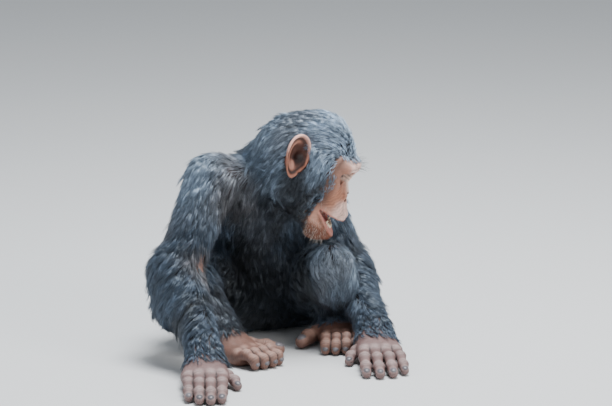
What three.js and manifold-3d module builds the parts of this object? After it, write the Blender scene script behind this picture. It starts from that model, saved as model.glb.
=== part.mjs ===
// A young chimpanzee sitting on the floor, life size, in millimetres, +Z up.
// It sits on its rump with both knees drawn up, leans forward on its right hand, and turns its head to its left,
// looking down with the mouth open. Seen along +Y, the head is in profile facing +X.
// Each part's surface is the outside of the coat where there is hair, and the skin where there is none.
// A part is a closed skin wrapped round its bone line: rings of vertices are pushed out from the bone line
// to where a smooth field of rounded cones and ellipsoids has the value zero. Neighbouring parts are then
// parted by thin cuts, and everything that meets the floor is cut flat at z = 0.
import * as THREE from "three";
import { mergeVertices } from "three/addons/utils/BufferGeometryUtils.js";
import Module from "manifold-3d";

const wasm = await Module();
wasm.setup();

// ---------- driving dimensions ----------
const GAP = 0.6; // thin cut between neighbours
const HEAD_ORIGIN = [48, -45, 297]; // middle of the head, level with the ear holes
const HEAD_TURN = 6; // degrees that the face turns from +X towards -Y
const HEAD_PITCH = 36; // degrees that the face looks down
const CHEST_TURN = 35; // degrees that the chest turns from -Y towards +X
const SHOULDER_R = [-80, -34, 258], ELBOW_R = [-124, -100, 135], WRIST_R = [-84, -208, 37];
const SHOULDER_L = [68, 74, 250], ELBOW_L = [122, 60, 98], WRIST_L = [164, -70, 37];
const HIP_R = [-36, 70, 54], KNEE_R = [-125, -24, 128], ANKLE_R = [-62, -76, 38];
const HIP_L = [54, 110, 54], KNEE_L = [100, -50, 133], ANKLE_L = [104, 26, 38];
const EYE_R = 11, EYE_AT = [57, 21, 19]; // eyeball radius, and its place in the head's frame
const EAR_H = 35, EAR_W = 20, EAR_AT = [6, 64, 13]; // half height, half width, centre in the head's frame
const FINGER_R = 8.6, TOE_R = 8.4;

// ---------- frames ----------
const rad = (d) => (d * Math.PI) / 180;
const add = (a, b, s = 1) => [a[0] + b[0] * s, a[1] + b[1] * s, a[2] + b[2] * s];
const sub = (a, b) => add(a, b, -1);
const dot = (a, b) => a[0] * b[0] + a[1] * b[1] + a[2] * b[2];
const len = (a) => Math.sqrt(dot(a, a));
const unit = (a) => a.map((v) => v / len(a));
const mix = (a, b, t) => a.map((v, i) => v + (b[i] - v) * t);
function frameOf(turn, pitch) {
  // forward, left, up of something that faces (cos turn, -sin turn, 0) and then pitches down
  const [c, s, cp, sp] = [Math.cos(rad(turn)), Math.sin(rad(turn)), Math.cos(rad(pitch)), Math.sin(rad(pitch))];
  return [[cp * c, -cp * s, -sp], [s, c, 0], [sp * c, -sp * s, cp]];
}
const WORLD = [[1, 0, 0], [0, 1, 0], [0, 0, 1]];
const CHEST = frameOf(90 - CHEST_TURN, 24);
const PELVIS = frameOf(65, -6);
const HEAD = frameOf(HEAD_TURN, HEAD_PITCH);
const at = (origin, frame, p) => origin.map((o, i) => o + frame[0][i] * p[0] + frame[1][i] * p[1] + frame[2][i] * p[2]);
const h = (x, y, z) => at(HEAD_ORIGIN, HEAD, [x, y, z]);

// ---------- the field ----------
const cone = (a, ra, b, rb, k = 18) => ({ a, ra, b, rb, k });
const egg = (c, r, frame = WORLD, k = 22) => ({ c, r, frame, k });
function distance(p, s) {
  if (s.c) {
    const d = sub(p, s.c), q = s.frame.map((ax) => dot(d, ax));
    const k0 = Math.hypot(q[0] / s.r[0], q[1] / s.r[1], q[2] / s.r[2]);
    const k1 = Math.hypot(q[0] / s.r[0] ** 2, q[1] / s.r[1] ** 2, q[2] / s.r[2] ** 2);
    return k1 < 1e-9 ? -Math.min(...s.r) : (k0 * (k0 - 1)) / k1;
  }
  const ab = sub(s.b, s.a), t = Math.min(1, Math.max(0, dot(sub(p, s.a), ab) / Math.max(dot(ab, ab), 1e-9)));
  return len(sub(p, mix(s.a, s.b, t))) - (s.ra + (s.rb - s.ra) * t);
}
function field(shapes) {
  return (p) => {
    let d = 1e9;
    for (const s of shapes) {
      const e = distance(p, s), m = Math.max(s.k - Math.abs(d - e), 0) / s.k;
      d = Math.min(d, e) - (m * m * s.k) / 4;
    }
    return d;
  };
}

// ---------- the body's shapes ----------
const trunk = [
  egg([8, 92, 60], [72, 86, 66], PELVIS),
  egg([4, 70, 122], [72, 91, 76], PELVIS, 40),
  egg([0, 44, 196], [66, 90, 82], CHEST, 40),
  cone(add(SHOULDER_R, [12, 6, -6]), 43, add(SHOULDER_L, [-12, -6, -2]), 41, 34),
];
const neck = [
  cone([-10, 26, 246], 45, h(-16, 0, 3), 49, 20),
  cone([10, 4, 224], 34, h(12, 0, -36), 34, 26),
];
const skull = [
  egg(h(8, 0, 11), [67, 57, 52], HEAD),
  egg(h(18, 0, 20), [59, 52, 66], HEAD, 16),
  egg(h(38, 0, 22), [45, 49, 44], HEAD, 14),
  cone(h(70, 34, 35), 9, h(77, 8, 40), 9, 10),
  cone(h(70, -34, 35), 9, h(77, -8, 40), 9, 10),
  egg(h(54, 36, 4), [22, 15, 17], HEAD, 14),
  egg(h(54, -36, 4), [22, 15, 17], HEAD, 14),
  cone(h(60, 0, 22), 9, h(76, 0, -1), 9, 10),
  egg(h(77, 0, -2), [9, 15, 8], HEAD, 8),
  egg(h(66, 0, -20), [36, 33, 24], HEAD, 12),
  egg(h(88, 0, -30), [26, 28, 12], HEAD, 10),
  egg(h(28, 40, -14), [34, 18, 40], HEAD, 20),
  egg(h(28, -40, -14), [34, 18, 40], HEAD, 20),
];
const jawShapes = [
  cone(h(16, 34, -46), 19, h(84, 12, -73), 14, 16),
  cone(h(16, -34, -46), 19, h(84, -12, -73), 14, 16),
  egg(h(88, 0, -71), [25, 25, 12], HEAD, 12),
  egg(h(50, 0, -62), [40, 30, 20], HEAD, 18),
  cone(h(38, 35, -38), 13, h(67, 23, -44), 8, 14),
  cone(h(38, -35, -38), 13, h(67, -23, -44), 8, 14),
];
// Each limb's upper and lower length is a shape of its own; the lower one gives way to the upper one at the joint.
const limbs = {
  armR: [
    [cone(SHOULDER_R, 43, mix(SHOULDER_R, ELBOW_R, 0.5), 38, 8), cone(mix(SHOULDER_R, ELBOW_R, 0.5), 38, ELBOW_R, 38, 8)],
    [cone(ELBOW_R, 42, WRIST_R, 25, 20), cone([-134, -98, 128], 40, [-128, -128, 86], 38, 26)],
  ],
  armL: [
    [cone(SHOULDER_L, 37, ELBOW_L, 37, 20)],
    [cone(ELBOW_L, 40, WRIST_L, 25, 20), cone([134, 62, 92], 34, [141, 30, 74], 31, 26)],
  ],
  legR: [
    [cone(HIP_R, 57, mix(HIP_R, KNEE_R, 0.5), 49, 8), cone(mix(HIP_R, KNEE_R, 0.5), 49, KNEE_R, 36, 8)],
    [cone(KNEE_R, 35, mix(KNEE_R, ANKLE_R, 0.35), 37, 20), cone(mix(KNEE_R, ANKLE_R, 0.35), 37, ANKLE_R, 25, 20)],
  ],
  legL: [
    [cone(HIP_L, 57, mix(HIP_L, KNEE_L, 0.5), 50, 8), cone(mix(HIP_L, KNEE_L, 0.5), 50, KNEE_L, 36, 8)],
    [cone(KNEE_L, 35, mix(KNEE_L, ANKLE_L, 0.35), 38, 20), cone(mix(KNEE_L, ANKLE_L, 0.35), 38, ANKLE_L, 27, 20)],
  ],
};

// ---------- wrapping a closed surface round a bone line ----------
const solid = (positions, index) => {
  let g = new THREE.BufferGeometry();
  g.setAttribute("position", new THREE.Float32BufferAttribute(positions.flat(), 3));
  g.setIndex(index);
  return solidOf(g);
};
function solidOf(geometry) {
  let g = geometry.clone();
  g.deleteAttribute("normal");
  g.deleteAttribute("uv");
  g = mergeVertices(g, 1e-4);
  return new wasm.Manifold(
    new wasm.Mesh({ numProp: 3, vertProperties: g.attributes.position.array, triVerts: new Uint32Array(g.index.array) }),
  );
}
// How far it is from c, along the unit vector d, to the surface of field f.
function reach(f, c, d, most = 400) {
  let s = 0;
  for (let i = 0; i < 80 && s < most; i++) {
    const v = -f(add(c, d, s));
    if (v < 0.02) break;
    s += Math.max(v * 0.9, 0.02);
  }
  return Math.max(s, 0.6);
}
// line: points of the bone line; up: a vector that fixes where each ring starts. grow widens the whole surface.
function wrap(shapes, line, { rings = 10, sides = 14, from = 0, to = 1, up = [0, 0, 1], caps = [true, true], lifts = [30, 58], grow = 0 } = {}) {
  const f = field(shapes), curve = new THREE.CatmullRomCurve3(line.map((p) => new THREE.Vector3(...p)), false, "centripetal");
  const positions = [], index = [];
  const ts = [...Array(rings)].map((_, i) => from + ((to - from) * i) / (rings - 1));
  for (const t of ts) {
    const c = curve.getPointAt(t).toArray();
    const w = unit(curve.getTangentAt(t).toArray());
    const u = unit(sub(up, w.map((v) => v * dot(up, w))));
    const v = [w[1] * u[2] - w[2] * u[1], w[2] * u[0] - w[0] * u[2], w[0] * u[1] - w[1] * u[0]];
    const shift = t === ts[0] ? -grow : t === ts[rings - 1] ? grow : 0;
    for (let j = 0; j < sides; j++) {
      const a = (2 * Math.PI * j) / sides;
      const d = add(u.map((x) => x * Math.cos(a)), v, Math.sin(a));
      positions.push(add(add(c, d, reach(f, c, d) + grow), w, shift));
    }
  }
  for (let i = 0; i < rings - 1; i++)
    for (let j = 0; j < sides; j++) {
      const [p, q, r, s] = [i * sides + j, i * sides + ((j + 1) % sides), (i + 1) * sides + ((j + 1) % sides), (i + 1) * sides + j];
      index.push(p, q, r, p, r, s);
    }
  // An end is a flat cut, or a rounded tip that is pushed out along the bone line in shrinking rings.
  for (const [end, ring] of [[0, 0], [1, rings - 1]]) {
    const t = ts[ring], c = curve.getPointAt(t).toArray();
    const w = unit(curve.getTangentAt(t).toArray()).map((x) => (end ? x : -x));
    const base = ring * sides;
    let last = base;
    if (!caps[end]) {
      for (const lift of lifts) {
        const start = positions.length;
        for (let j = 0; j < sides; j++) {
          const out = sub(positions[base + j], c), flat = unit(sub(out, w.map((x) => x * dot(out, w))));
          const d = add(flat.map((x) => x * Math.cos(rad(lift))), w, Math.sin(rad(lift)));
          positions.push(add(c, d, reach(f, c, d) + grow));
        }
        for (let j = 0; j < sides; j++) {
          const [p, q, r, s] = [last + j, last + ((j + 1) % sides), start + ((j + 1) % sides), start + j];
          end ? index.push(p, q, r, p, r, s) : index.push(p, r, q, p, s, r);
        }
        last = start;
      }
    }
    const middle = positions.length;
    positions.push(caps[end] ? add(c, w, grow) : add(c, w, reach(f, c, w) + grow));
    for (let j = 0; j < sides; j++) {
      const [p, q] = [last + j, last + ((j + 1) % sides)];
      end ? index.push(p, q, middle) : index.push(q, p, middle);
    }
  }
  return solid(positions, index);
}
const ball = (c, r, n = 12) => {
  const g = new THREE.SphereGeometry(r, n, Math.round(n * 0.7));
  g.translate(...c);
  return solidOf(g);
};
const stretched = (c, r, frame, n = 14) => {
  const g = new THREE.SphereGeometry(1, n, Math.round(n * 0.7));
  const axes = frame.map((a, i) => new THREE.Vector3(...a).multiplyScalar(r[i]));
  if (axes[0].clone().cross(axes[1]).dot(axes[2]) < 0) axes[2].negate(); // a mirrored frame would turn the ball inside out
  g.applyMatrix4(new THREE.Matrix4().makeBasis(...axes).setPosition(...c));
  return solidOf(g);
};
// A finger or toe: knobs at the joints with tapering shafts between them, as one wrapped chain.
function digit(points, r, sides = 6) {
  const shapes = points.slice(1).map((p, i) => cone(points[i], r * (1 - 0.05 * i), p, r * (1 - 0.05 * (i + 1)), 3));
  return wrap(shapes, points, { rings: points.length, sides, from: 0.02, to: 0.98, caps: [true, false], lifts: [42] });
}
const join = (list) => list.reduce((a, b) => a.add(b));
const floorBlock = () => {
  const g = new THREE.BoxGeometry(2000, 2000, 400);
  g.translate(0, 0, -200);
  return solidOf(g);
};

// ---------- hands and feet ----------
// side is +1 where the thumb or big toe lies to the right of the digits' direction, looking down.
// fan is how much the fingers spread towards their tips.
function hand(wrist, towards, side, fan) {
  const f = unit([towards[0], towards[1], 0]), out = [f[1] * side, -f[0] * side, 0];
  const p = (a, b, z) => [wrist[0] + f[0] * a + out[0] * b, wrist[1] + f[1] * a + out[1] * b, z];
  const palm = [
    cone(wrist, 22, p(16, 2, 26), 21, 16),
    cone(p(14, 12, 21), 18, p(52, 20, 19), 14, 16),
    cone(p(14, -10, 20), 18, p(50, -22, 17), 13, 16),
    cone(p(20, 2, 22), 18, p(54, 0, 20), 14, 16),
  ];
  const pieces = [wrap(palm, [p(0, 0, wrist[2]), p(18, 1, 24), p(38, 0, 19), p(56, 0, 18)], { rings: 5, sides: 10, caps: [true, false] })];
  const spread = [24, 8, -8.4, -24], size = [0.92, 1, 0.96, 0.8];
  spread.forEach((b, i) => {
    const s = size[i], lean = b * fan;
    pieces.push(digit([p(46, b * 0.92, 17), p(62, b, 19), p(62 + 32 * s, b + lean, 19), p(62 + 58 * s, b + lean * 1.5, 12), p(62 + 76 * s, b + lean * 1.8, FINGER_R - 1)], FINGER_R * (i === 3 ? 0.9 : 1)));
  });
  pieces.push(digit([p(16, 18, 17), p(34, 33, 14), p(50, 42, 11), p(64, 46, FINGER_R - 1.5)], FINGER_R * 0.9));
  return pieces;
}
function foot(ankle, towards, side) {
  const f = unit([towards[0], towards[1], 0]), out = [f[1] * side, -f[0] * side, 0];
  const p = (a, b, z) => [ankle[0] + f[0] * a + out[0] * b, ankle[1] + f[1] * a + out[1] * b, z];
  const sole = [
    cone(ankle, 24, p(-10, 0, 22), 22, 16),
    cone(p(-20, 0, 19), 20, p(20, -4, 20), 19, 16),
    cone(p(10, -4, 22), 21, p(62, -10, 14), 15, 18),
    cone(p(20, 8, 18), 17, p(58, 10, 13), 13, 16),
    cone(p(20, -14, 15), 15, p(56, -26, 12), 12, 16),
  ];
  const pieces = [wrap(sole, [p(-38, 0, 16), p(-14, 0, 18), p(16, -2, 18), p(44, -6, 14), p(70, -8, 12)], { rings: 5, sides: 10, from: 0.06, to: 0.94, caps: [false, false] })];
  pieces.push(wrap([cone(ankle, 25, p(0, 0, 20), 22, 10)], [add(ankle, [0, 0, 2]), p(0, 0, 18)], { rings: 2, sides: 9, up: [1, 0, 0], caps: [true, false], lifts: [42] }));
  const spread = [14, -1, -16, -30], size = [0.95, 1, 0.94, 0.82];
  spread.forEach((b, i) => {
    const s = size[i];
    pieces.push(digit([p(50, b * 0.85 - 2, 13), p(62, b, 16), p(62 + 22 * s, b, 21), p(62 + 39 * s, b + 1, 15), p(62 + 41 * s, b + 1.5, TOE_R - 1)], TOE_R * (i === 3 ? 0.94 : 1)));
  });
  pieces.push(digit([p(8, 10, 19), p(30, 25, 16), p(50, 40, 14), p(66, 50, 11.5)], TOE_R * 1.4, 7));
  return pieces;
}

// ---------- the parts, whole ----------
const line = {
  trunk: [[10, 96, -4], [8, 90, 70], [6, 66, 140], [-2, 40, 210], [-5, 22, 252]],
  armR: [SHOULDER_R, ELBOW_R, WRIST_R],
  armL: [SHOULDER_L, ELBOW_L, WRIST_L],
  legR: [HIP_R, KNEE_R, ANKLE_R],
  legL: [HIP_L, KNEE_L, ANKLE_L],
  head: [h(-52, 0, 4), h(-20, 0, 14), h(24, 0, 12), h(60, 0, -4), h(112, 0, -30)],
  jaw: [h(4, 0, -44), h(40, 0, -62), h(108, 0, -80)],
};
const make = {
  trunk: (grow) => wrap(trunk, line.trunk, { rings: 8, sides: 16, up: [1, 0, 0], from: 0, to: 0.98, caps: [true, false], grow }),
  neck: (grow) => wrap(neck, [[-8, 22, 238], [4, 4, 262], h(-12, 0, -2)], { rings: 5, sides: 12, up: [1, 0, 0], grow }),
  head: (grow) => wrap(skull, line.head, { rings: 13, sides: 18, from: 0.05, to: 0.97, caps: [false, false], grow }),
  jaw: (grow) => wrap(jawShapes, line.jaw, { rings: 6, sides: 12, from: 0.02, to: 0.95, caps: [true, false], grow }),
};
for (const [name, [upper, lower]] of Object.entries(limbs)) {
  const [a, b, c] = line[name];
  make[name + "0"] = (grow) => wrap(upper, [a, mix(a, b, 0.5), b], { sides: 12, rings: 4, from: 0.02, to: 0.98, caps: [false, false], grow });
  make[name + "1"] = (grow) => wrap(lower, [b, mix(b, c, 0.5), c], { sides: 11, rings: 5, from: 0.02, to: 1, caps: [false, true], grow });
}
make.handR = () => join(hand(WRIST_R, [0.04, -1], -1, -0.02));
make.handL = () => join(hand(WRIST_L, [0.1, -1], 1, 0.1));
make.footR = () => join(foot(ANKLE_R, [0.72, -0.69], -1));
make.footL = () => join(foot(ANKLE_L, [0.02, -1], 1));

// An ear: a thin cup, a stretched ball hollowed by a smaller one that is set further out.
const EAR_LEAN = -21, EAR_FLARE = 36; // degrees back from upright, and out from the side of the head
function ear(side) {
  const [lean, flare] = [rad(EAR_LEAN), rad(EAR_FLARE)];
  const place = (v) => [0, 1, 2].map((i) => HEAD[0][i] * v[0] + HEAD[1][i] * v[1] + HEAD[2][i] * v[2]);
  const up = place([Math.sin(lean), 0, Math.cos(lean)]);
  const back = place([-Math.cos(flare) * Math.cos(lean), Math.sin(flare) * side, Math.cos(flare) * Math.sin(lean)]);
  let out = [up[1] * back[2] - up[2] * back[1], up[2] * back[0] - up[0] * back[2], up[0] * back[1] - up[1] * back[0]];
  if (dot(out, HEAD[1]) * side < 0) out = out.map((v) => -v);
  const frame = [back, up, out];
  const c = h(EAR_AT[0] - 6, EAR_AT[1] * side, EAR_AT[2]);
  return {
    cup: stretched(c, [EAR_W, EAR_H, 11], frame, 12),
    hollow: stretched(add(add(c, out, 8), back, -2), [EAR_W - 4.5, EAR_H - 5, 11], frame, 10),
  };
}

// ---------- thin cuts: what comes later in the order gives way to what comes before ----------
const block = floorBlock();
const done = {}, grown = {};
const order = ["handR", "handL", "footR", "footL", "armR0", "armL0", "legR0", "legL0", "armR1", "armL1", "legR1", "legL1", "head", "jaw", "neck", "trunk"];
for (const name of order) {
  let m = make[name](0);
  for (const other of Object.keys(done)) {
    if (m.intersect(grown[other]).volume() > 0.001) m = m.subtract(grown[other]);
  }
  m = m.subtract(block);
  if (name === "head" || name === "jaw") {
    // the open mouth: a wedge that narrows towards the corners of the lips
    const mouth = wrap(
      [-26, -9, 9, 26].map((y) => cone(h(77, y, -41.5), 2.5, h(124, y, -54), 15.5, 8)).concat([egg(h(82, 0, -49), [24, 18, 8], HEAD, 8)]),
      [h(62, 0, -47), h(90, 0, -46), h(136, 0, -56)], { rings: 6, sides: 16, caps: [false, false] });
    m = m.subtract(mouth);
  }
  if (name === "head")
    for (const side of [1, -1]) {
      const eye = h(EYE_AT[0], EYE_AT[1] * side, EYE_AT[2]);
      m = m.subtract(ball(eye, EYE_R + 0.8, 10));
      // the slit between the lids
      m = m.subtract(stretched(h(EYE_AT[0] + 10, (EYE_AT[1] + 1) * side, EYE_AT[2] - 2), [14, 9, 4.5], HEAD, 12));
    }
  const pieces = m.decompose().sort((a, b) => b.volume() - a.volume());
  done[name] = pieces[0];
  // the same part a little wider, which is taken out of its later neighbours
  if (make[name].length) {
    grown[name] = make[name](GAP);
  } else {
    // many small shifts stand in for a wider hand or foot
    const shifts = [[1, 0, 0], [-1, 0, 0], [0, 1, 0], [0, -1, 0], [0, 0, 1], [0, 0, -1]];
    grown[name] = shifts.map((s) => done[name].translate(s.map((v) => v * GAP))).reduce((a, b) => a.add(b), done[name]);
  }
}
for (const side of [1, -1]) {
  const key = side > 0 ? "l" : "r";
  const e = ear(side);
  let m = e.cup.subtract(e.hollow);
  m = m.add(stretched(h(0, 54 * side, -4), [8, 11, 12], HEAD, 7));
  for (const other of Object.keys(grown)) if (m.intersect(grown[other]).volume() > 0.001) m = m.subtract(grown[other]);
  done["ear_" + key] = m.decompose().sort((a, b) => b.volume() - a.volume())[0];
  done["eye_" + key] = ball(h(EYE_AT[0], EYE_AT[1] * side, EYE_AT[2]), EYE_R, 10);
}

// ---------- the scene graph ----------
const NAMES = {
  trunk: "trunk", neck: "neck", head: "head", jaw: "jaw",
  armR0: "upper_arm_r", armL0: "upper_arm_l", armR1: "forearm_r", armL1: "forearm_l",
  handR: "hand_r", handL: "hand_l", legR0: "thigh_r", legL0: "thigh_l", legR1: "shin_r", legL1: "shin_l",
  footR: "foot_r", footL: "foot_l", ear_l: "ear_l", ear_r: "ear_r", eye_l: "eye_l", eye_r: "eye_r",
};
const coat = { color: 0x1b1d22, roughness: 0.6, metalness: 0 };
const bare = { color: 0xa8705a, roughness: 0.55, metalness: 0 };
const glossy = { color: 0x2a1408, roughness: 0.1, metalness: 0 };
const finish = (name) => (/^(hand|foot|ear)/.test(name) ? bare : /^eye/.test(name) ? glossy : coat);
const group = new THREE.Group();
// The origin is the middle of the underside of the box round the whole animal.
for (const name of Object.keys(done)) done[name] = done[name].simplify(0.27).decompose().sort((a, b) => b.volume() - a.volume())[0];
const boxes = Object.values(done).map((m) => m.boundingBox());
const middle = [0, 1].map((i) => (Math.min(...boxes.map((b) => b.min[i])) + Math.max(...boxes.map((b) => b.max[i]))) / 2);
for (const [key, whole] of Object.entries(done)) {
  const m = whole.translate([-middle[0], -middle[1], 0]);
  const mesh = m.getMesh(), n = mesh.numProp, v = new Float32Array(mesh.numVert * 3);
  for (let i = 0; i < mesh.numVert; i++) v.set(mesh.vertProperties.subarray(i * n, i * n + 3), i * 3);
  const g = new THREE.BufferGeometry();
  g.setAttribute("position", new THREE.BufferAttribute(v, 3));
  g.setIndex(new THREE.BufferAttribute(mesh.triVerts, 1));
  const part = new THREE.Mesh(g, new THREE.MeshStandardMaterial(finish(NAMES[key])));
  part.name = NAMES[key];
  group.add(part);
}
export default group;
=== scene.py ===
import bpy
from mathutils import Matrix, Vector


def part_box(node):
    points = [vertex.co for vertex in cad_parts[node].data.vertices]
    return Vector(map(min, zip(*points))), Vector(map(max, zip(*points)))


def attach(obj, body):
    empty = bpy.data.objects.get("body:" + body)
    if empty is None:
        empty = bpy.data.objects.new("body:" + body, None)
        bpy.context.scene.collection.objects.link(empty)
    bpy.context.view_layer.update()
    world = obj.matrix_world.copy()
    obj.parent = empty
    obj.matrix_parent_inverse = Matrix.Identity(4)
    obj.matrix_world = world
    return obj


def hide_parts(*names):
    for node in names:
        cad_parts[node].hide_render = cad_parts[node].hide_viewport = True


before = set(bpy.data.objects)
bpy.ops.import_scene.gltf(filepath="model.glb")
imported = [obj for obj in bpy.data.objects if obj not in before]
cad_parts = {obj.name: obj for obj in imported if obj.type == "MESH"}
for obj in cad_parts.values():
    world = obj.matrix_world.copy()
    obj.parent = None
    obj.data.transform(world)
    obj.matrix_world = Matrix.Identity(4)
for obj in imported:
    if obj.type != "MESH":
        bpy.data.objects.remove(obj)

# Looks of a young sitting chimpanzee: one skin with bare face, ears, hands and feet, and a coat of solid tufts.
# All shapes are worked out in millimetres round a fixed body frame and moved onto the CAD model at the end.
import math
import time
import bmesh
import bpy
import numpy as np
import openvdb

START = time.time()
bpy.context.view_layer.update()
rng = np.random.default_rng(7)
f32 = np.float32


def A(*v):
    return np.array(v, float)


# ---------- the body's frame, as in the CAD part ----------
HEAD_ORIGIN = A(48, -45, 297)
SHOULDER_R, ELBOW_R, WRIST_R = A(-80, -34, 258), A(-124, -100, 135), A(-84, -208, 37)
SHOULDER_L, ELBOW_L, WRIST_L = A(68, 74, 250), A(122, 60, 98), A(164, -70, 37)
HIP_R, KNEE_R, ANKLE_R = A(-36, 70, 54), A(-125, -24, 128), A(-62, -76, 38)
HIP_L, KNEE_L, ANKLE_L = A(54, 110, 54), A(100, -50, 133), A(104, 26, 38)
EYE_R, EYE_AT = 11.0, A(57, 21, 19)
EAR_H, EAR_W, EAR_AT = 35.0, 20.0, A(6, 64, 13)
FINGER_R, TOE_R = 8.6, 8.4


def frame_of(turn, pitch):
    t, p = math.radians(turn), math.radians(pitch)
    c, s, cp, sp = math.cos(t), math.sin(t), math.cos(p), math.sin(p)
    return np.array([[cp * c, -cp * s, -sp], [s, c, 0], [sp * c, -sp * s, cp]])


WORLD = np.eye(3)
CHEST, PELVIS, HEAD = frame_of(55, 24), frame_of(65, -6), frame_of(6, 36)


def h(x, y, z):
    return HEAD_ORIGIN + A(x, y, z) @ HEAD


def to_head(p):
    return (p - HEAD_ORIGIN) @ HEAD.T


lo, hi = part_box("eye_l")
OFFSET = h(*EYE_AT) - A(*((lo + hi) / 2)) * 1000
OFFSET[2] = 0


def mix(a, b, t):
    return a + (b - a) * t


def unit(v):
    return v / np.maximum(np.linalg.norm(v, axis=-1, keepdims=True), 1e-9)


def step(x, a, b):
    t = np.clip((x - a) / (b - a), 0, 1)
    return t * t * (3 - 2 * t)


# ---------- fields: negative inside ----------
def cone(a, ra, b, rb, k=18):
    return ("cone", np.asarray(a, float), ra, np.asarray(b, float), rb, k)


def egg(c, r, axes=WORLD, k=22):
    return ("egg", np.asarray(c, float), np.asarray(r, float), axes, None, k)


def dist(p, s):
    if s[0] == "egg":
        q = (p - s[1].astype(f32)) @ s[3].T.astype(f32)
        r = s[2].astype(f32)
        k0 = np.sqrt(((q / r) ** 2).sum(-1))
        k1 = np.sqrt(((q / r**2) ** 2).sum(-1))
        return np.where(k1 < 1e-9, -r.min(), k0 * (k0 - 1) / np.maximum(k1, 1e-9))
    _, a, ra, b, rb, _ = s
    ab = (b - a).astype(f32)
    t = np.clip(((p - a.astype(f32)) @ ab) / max(float(ab @ ab), 1e-9), 0, 1)
    return np.sqrt(((p - a.astype(f32) - t[..., None] * ab) ** 2).sum(-1)) - (ra + (rb - ra) * t)


def smin(d, e, k):
    m = np.maximum(k - np.abs(d - e), 0) / k
    return np.minimum(d, e) - m * m * k / 4


def smax(d, e, k):
    return -smin(-d, -e, k)


def union(p, shapes):
    d = None
    for s in shapes:
        e = dist(p, s)
        d = e if d is None else smin(d, e, s[5])
    return d


def along(p, a, b):
    ab = b - a
    return np.clip(((p - a) @ ab) / (ab @ ab), 0, 1)


WAVES = rng.normal(size=(24, 3)), rng.uniform(0, 6.283, 24)


def waves(p, size, first=0, count=6):
    """A smooth random pattern, about -1 to 1, whose patches are about size mm across."""
    w, ph = WAVES[0][first : first + count], WAVES[1][first : first + count]
    return np.sin(p @ w.T * (2.2 / size) + ph).mean(-1) * 1.6


# ---------- hands and feet ----------
# side is +1 where the thumb or big toe lies to the right of the digits' direction, looking down.
def hand(wrist, towards, side, spread, fan):
    f = unit(A(towards[0], towards[1], 0))
    out = A(f[1] * side, -f[0] * side, 0)

    def p(a, b, z):
        return A(wrist[0] + f[0] * a + out[0] * b, wrist[1] + f[1] * a + out[1] * b, z)

    palm = [
        cone(wrist, 22, p(16, 2, 26), 21, 16),
        cone(p(14, 12, 21), 18, p(52, 20, 19), 14, 16),
        cone(p(14, -10, 20), 18, p(50, -22, 17), 13, 16),
        cone(p(20, 2, 22), 18, p(54, 0, 20), 14, 16),
    ]
    chains = []
    for i, b in enumerate(spread):
        s, lean = (0.92, 1, 0.96, 0.8)[i], b * fan
        pts = [p(46, b * 0.92, 17), p(62, b, 19), p(62 + 32 * s, b + lean, 19), p(62 + 58 * s, b + lean * 1.5, 12), p(62 + 76 * s, b + lean * 1.8, FINGER_R - 1)]
        chains.append((pts, FINGER_R * (0.9 if i == 3 else 1), 1.0))
    chains.append(([p(16, 18, 17), p(34, 33, 14), p(50, 42, 11), p(64, 46, FINGER_R - 1.5)], FINGER_R * 0.9, 1.0))
    return palm, chains


def foot(ankle, towards, side):
    f = unit(A(towards[0], towards[1], 0))
    out = A(f[1] * side, -f[0] * side, 0)

    def p(a, b, z):
        return A(ankle[0] + f[0] * a + out[0] * b, ankle[1] + f[1] * a + out[1] * b, z)

    sole = [
        cone(ankle, 24, p(-10, 0, 22), 22, 16),
        cone(p(-20, 0, 19), 20, p(20, -4, 20), 19, 16),
        cone(p(10, -4, 22), 21, p(62, -10, 14), 15, 18),
        cone(p(20, 8, 18), 17, p(58, 10, 13), 13, 16),
        cone(p(20, -14, 15), 15, p(56, -26, 12), 12, 16),
    ]
    chains = []
    for i, b in enumerate((14, -1, -16, -30)):
        s = (0.95, 1, 0.94, 0.82)[i]
        pts = [p(50, b * 0.85 - 2, 13), p(62, b, 16), p(62 + 22 * s, b, 21), p(62 + 39 * s, b + 1, 15), p(62 + 41 * s, b + 1.5, TOE_R - 1)]
        chains.append((pts, TOE_R * (0.94 if i == 3 else 1), 1.0))
    chains.append(([p(8, 10, 19), p(30, 25, 16), p(50, 40, 14), p(66, 50, 11.5)], TOE_R * 1.4, 1.25))
    return sole, chains


def digit_shapes(pts, r):
    out = []
    for i in range(len(pts) - 1):
        out.append(cone(pts[i], r * (1 - 0.05 * i), pts[i + 1], r * (1 - 0.05 * (i + 1)), 3))
    for i in range(1, len(pts) - 1):
        out.append(egg(pts[i] + A(0, 0, 0.6), [r * 1.0, r * 1.0, r * 1.0], WORLD, 3))  # knuckles
    return out


GROPES = {
    "hand_r": hand(WRIST_R, (0.04, -1), -1, (24, 8, -8.4, -24), -0.02),
    "hand_l": hand(WRIST_L, (0.1, -1), 1, (24, 8, -8.4, -24), 0.1),
    "foot_r": foot(ANKLE_R, (0.72, -0.69), -1),
    "foot_l": foot(ANKLE_L, (0.02, -1), 1),
}

# ---------- the ears ----------
LEAN, FLARE = math.radians(-21), math.radians(36)


def ear_frame(side):
    up = A(math.sin(LEAN), 0, math.cos(LEAN)) @ HEAD
    back = A(-math.cos(FLARE) * math.cos(LEAN), math.sin(FLARE) * side, math.cos(FLARE) * math.sin(LEAN)) @ HEAD
    out = np.cross(up, back)
    if (out @ HEAD[1]) * side < 0:
        out = -out
    return h(EAR_AT[0] - 6, EAR_AT[1] * side, EAR_AT[2]), np.array([back, up, out])


EARS = {s: ear_frame(s) for s in (1, -1)}


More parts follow.
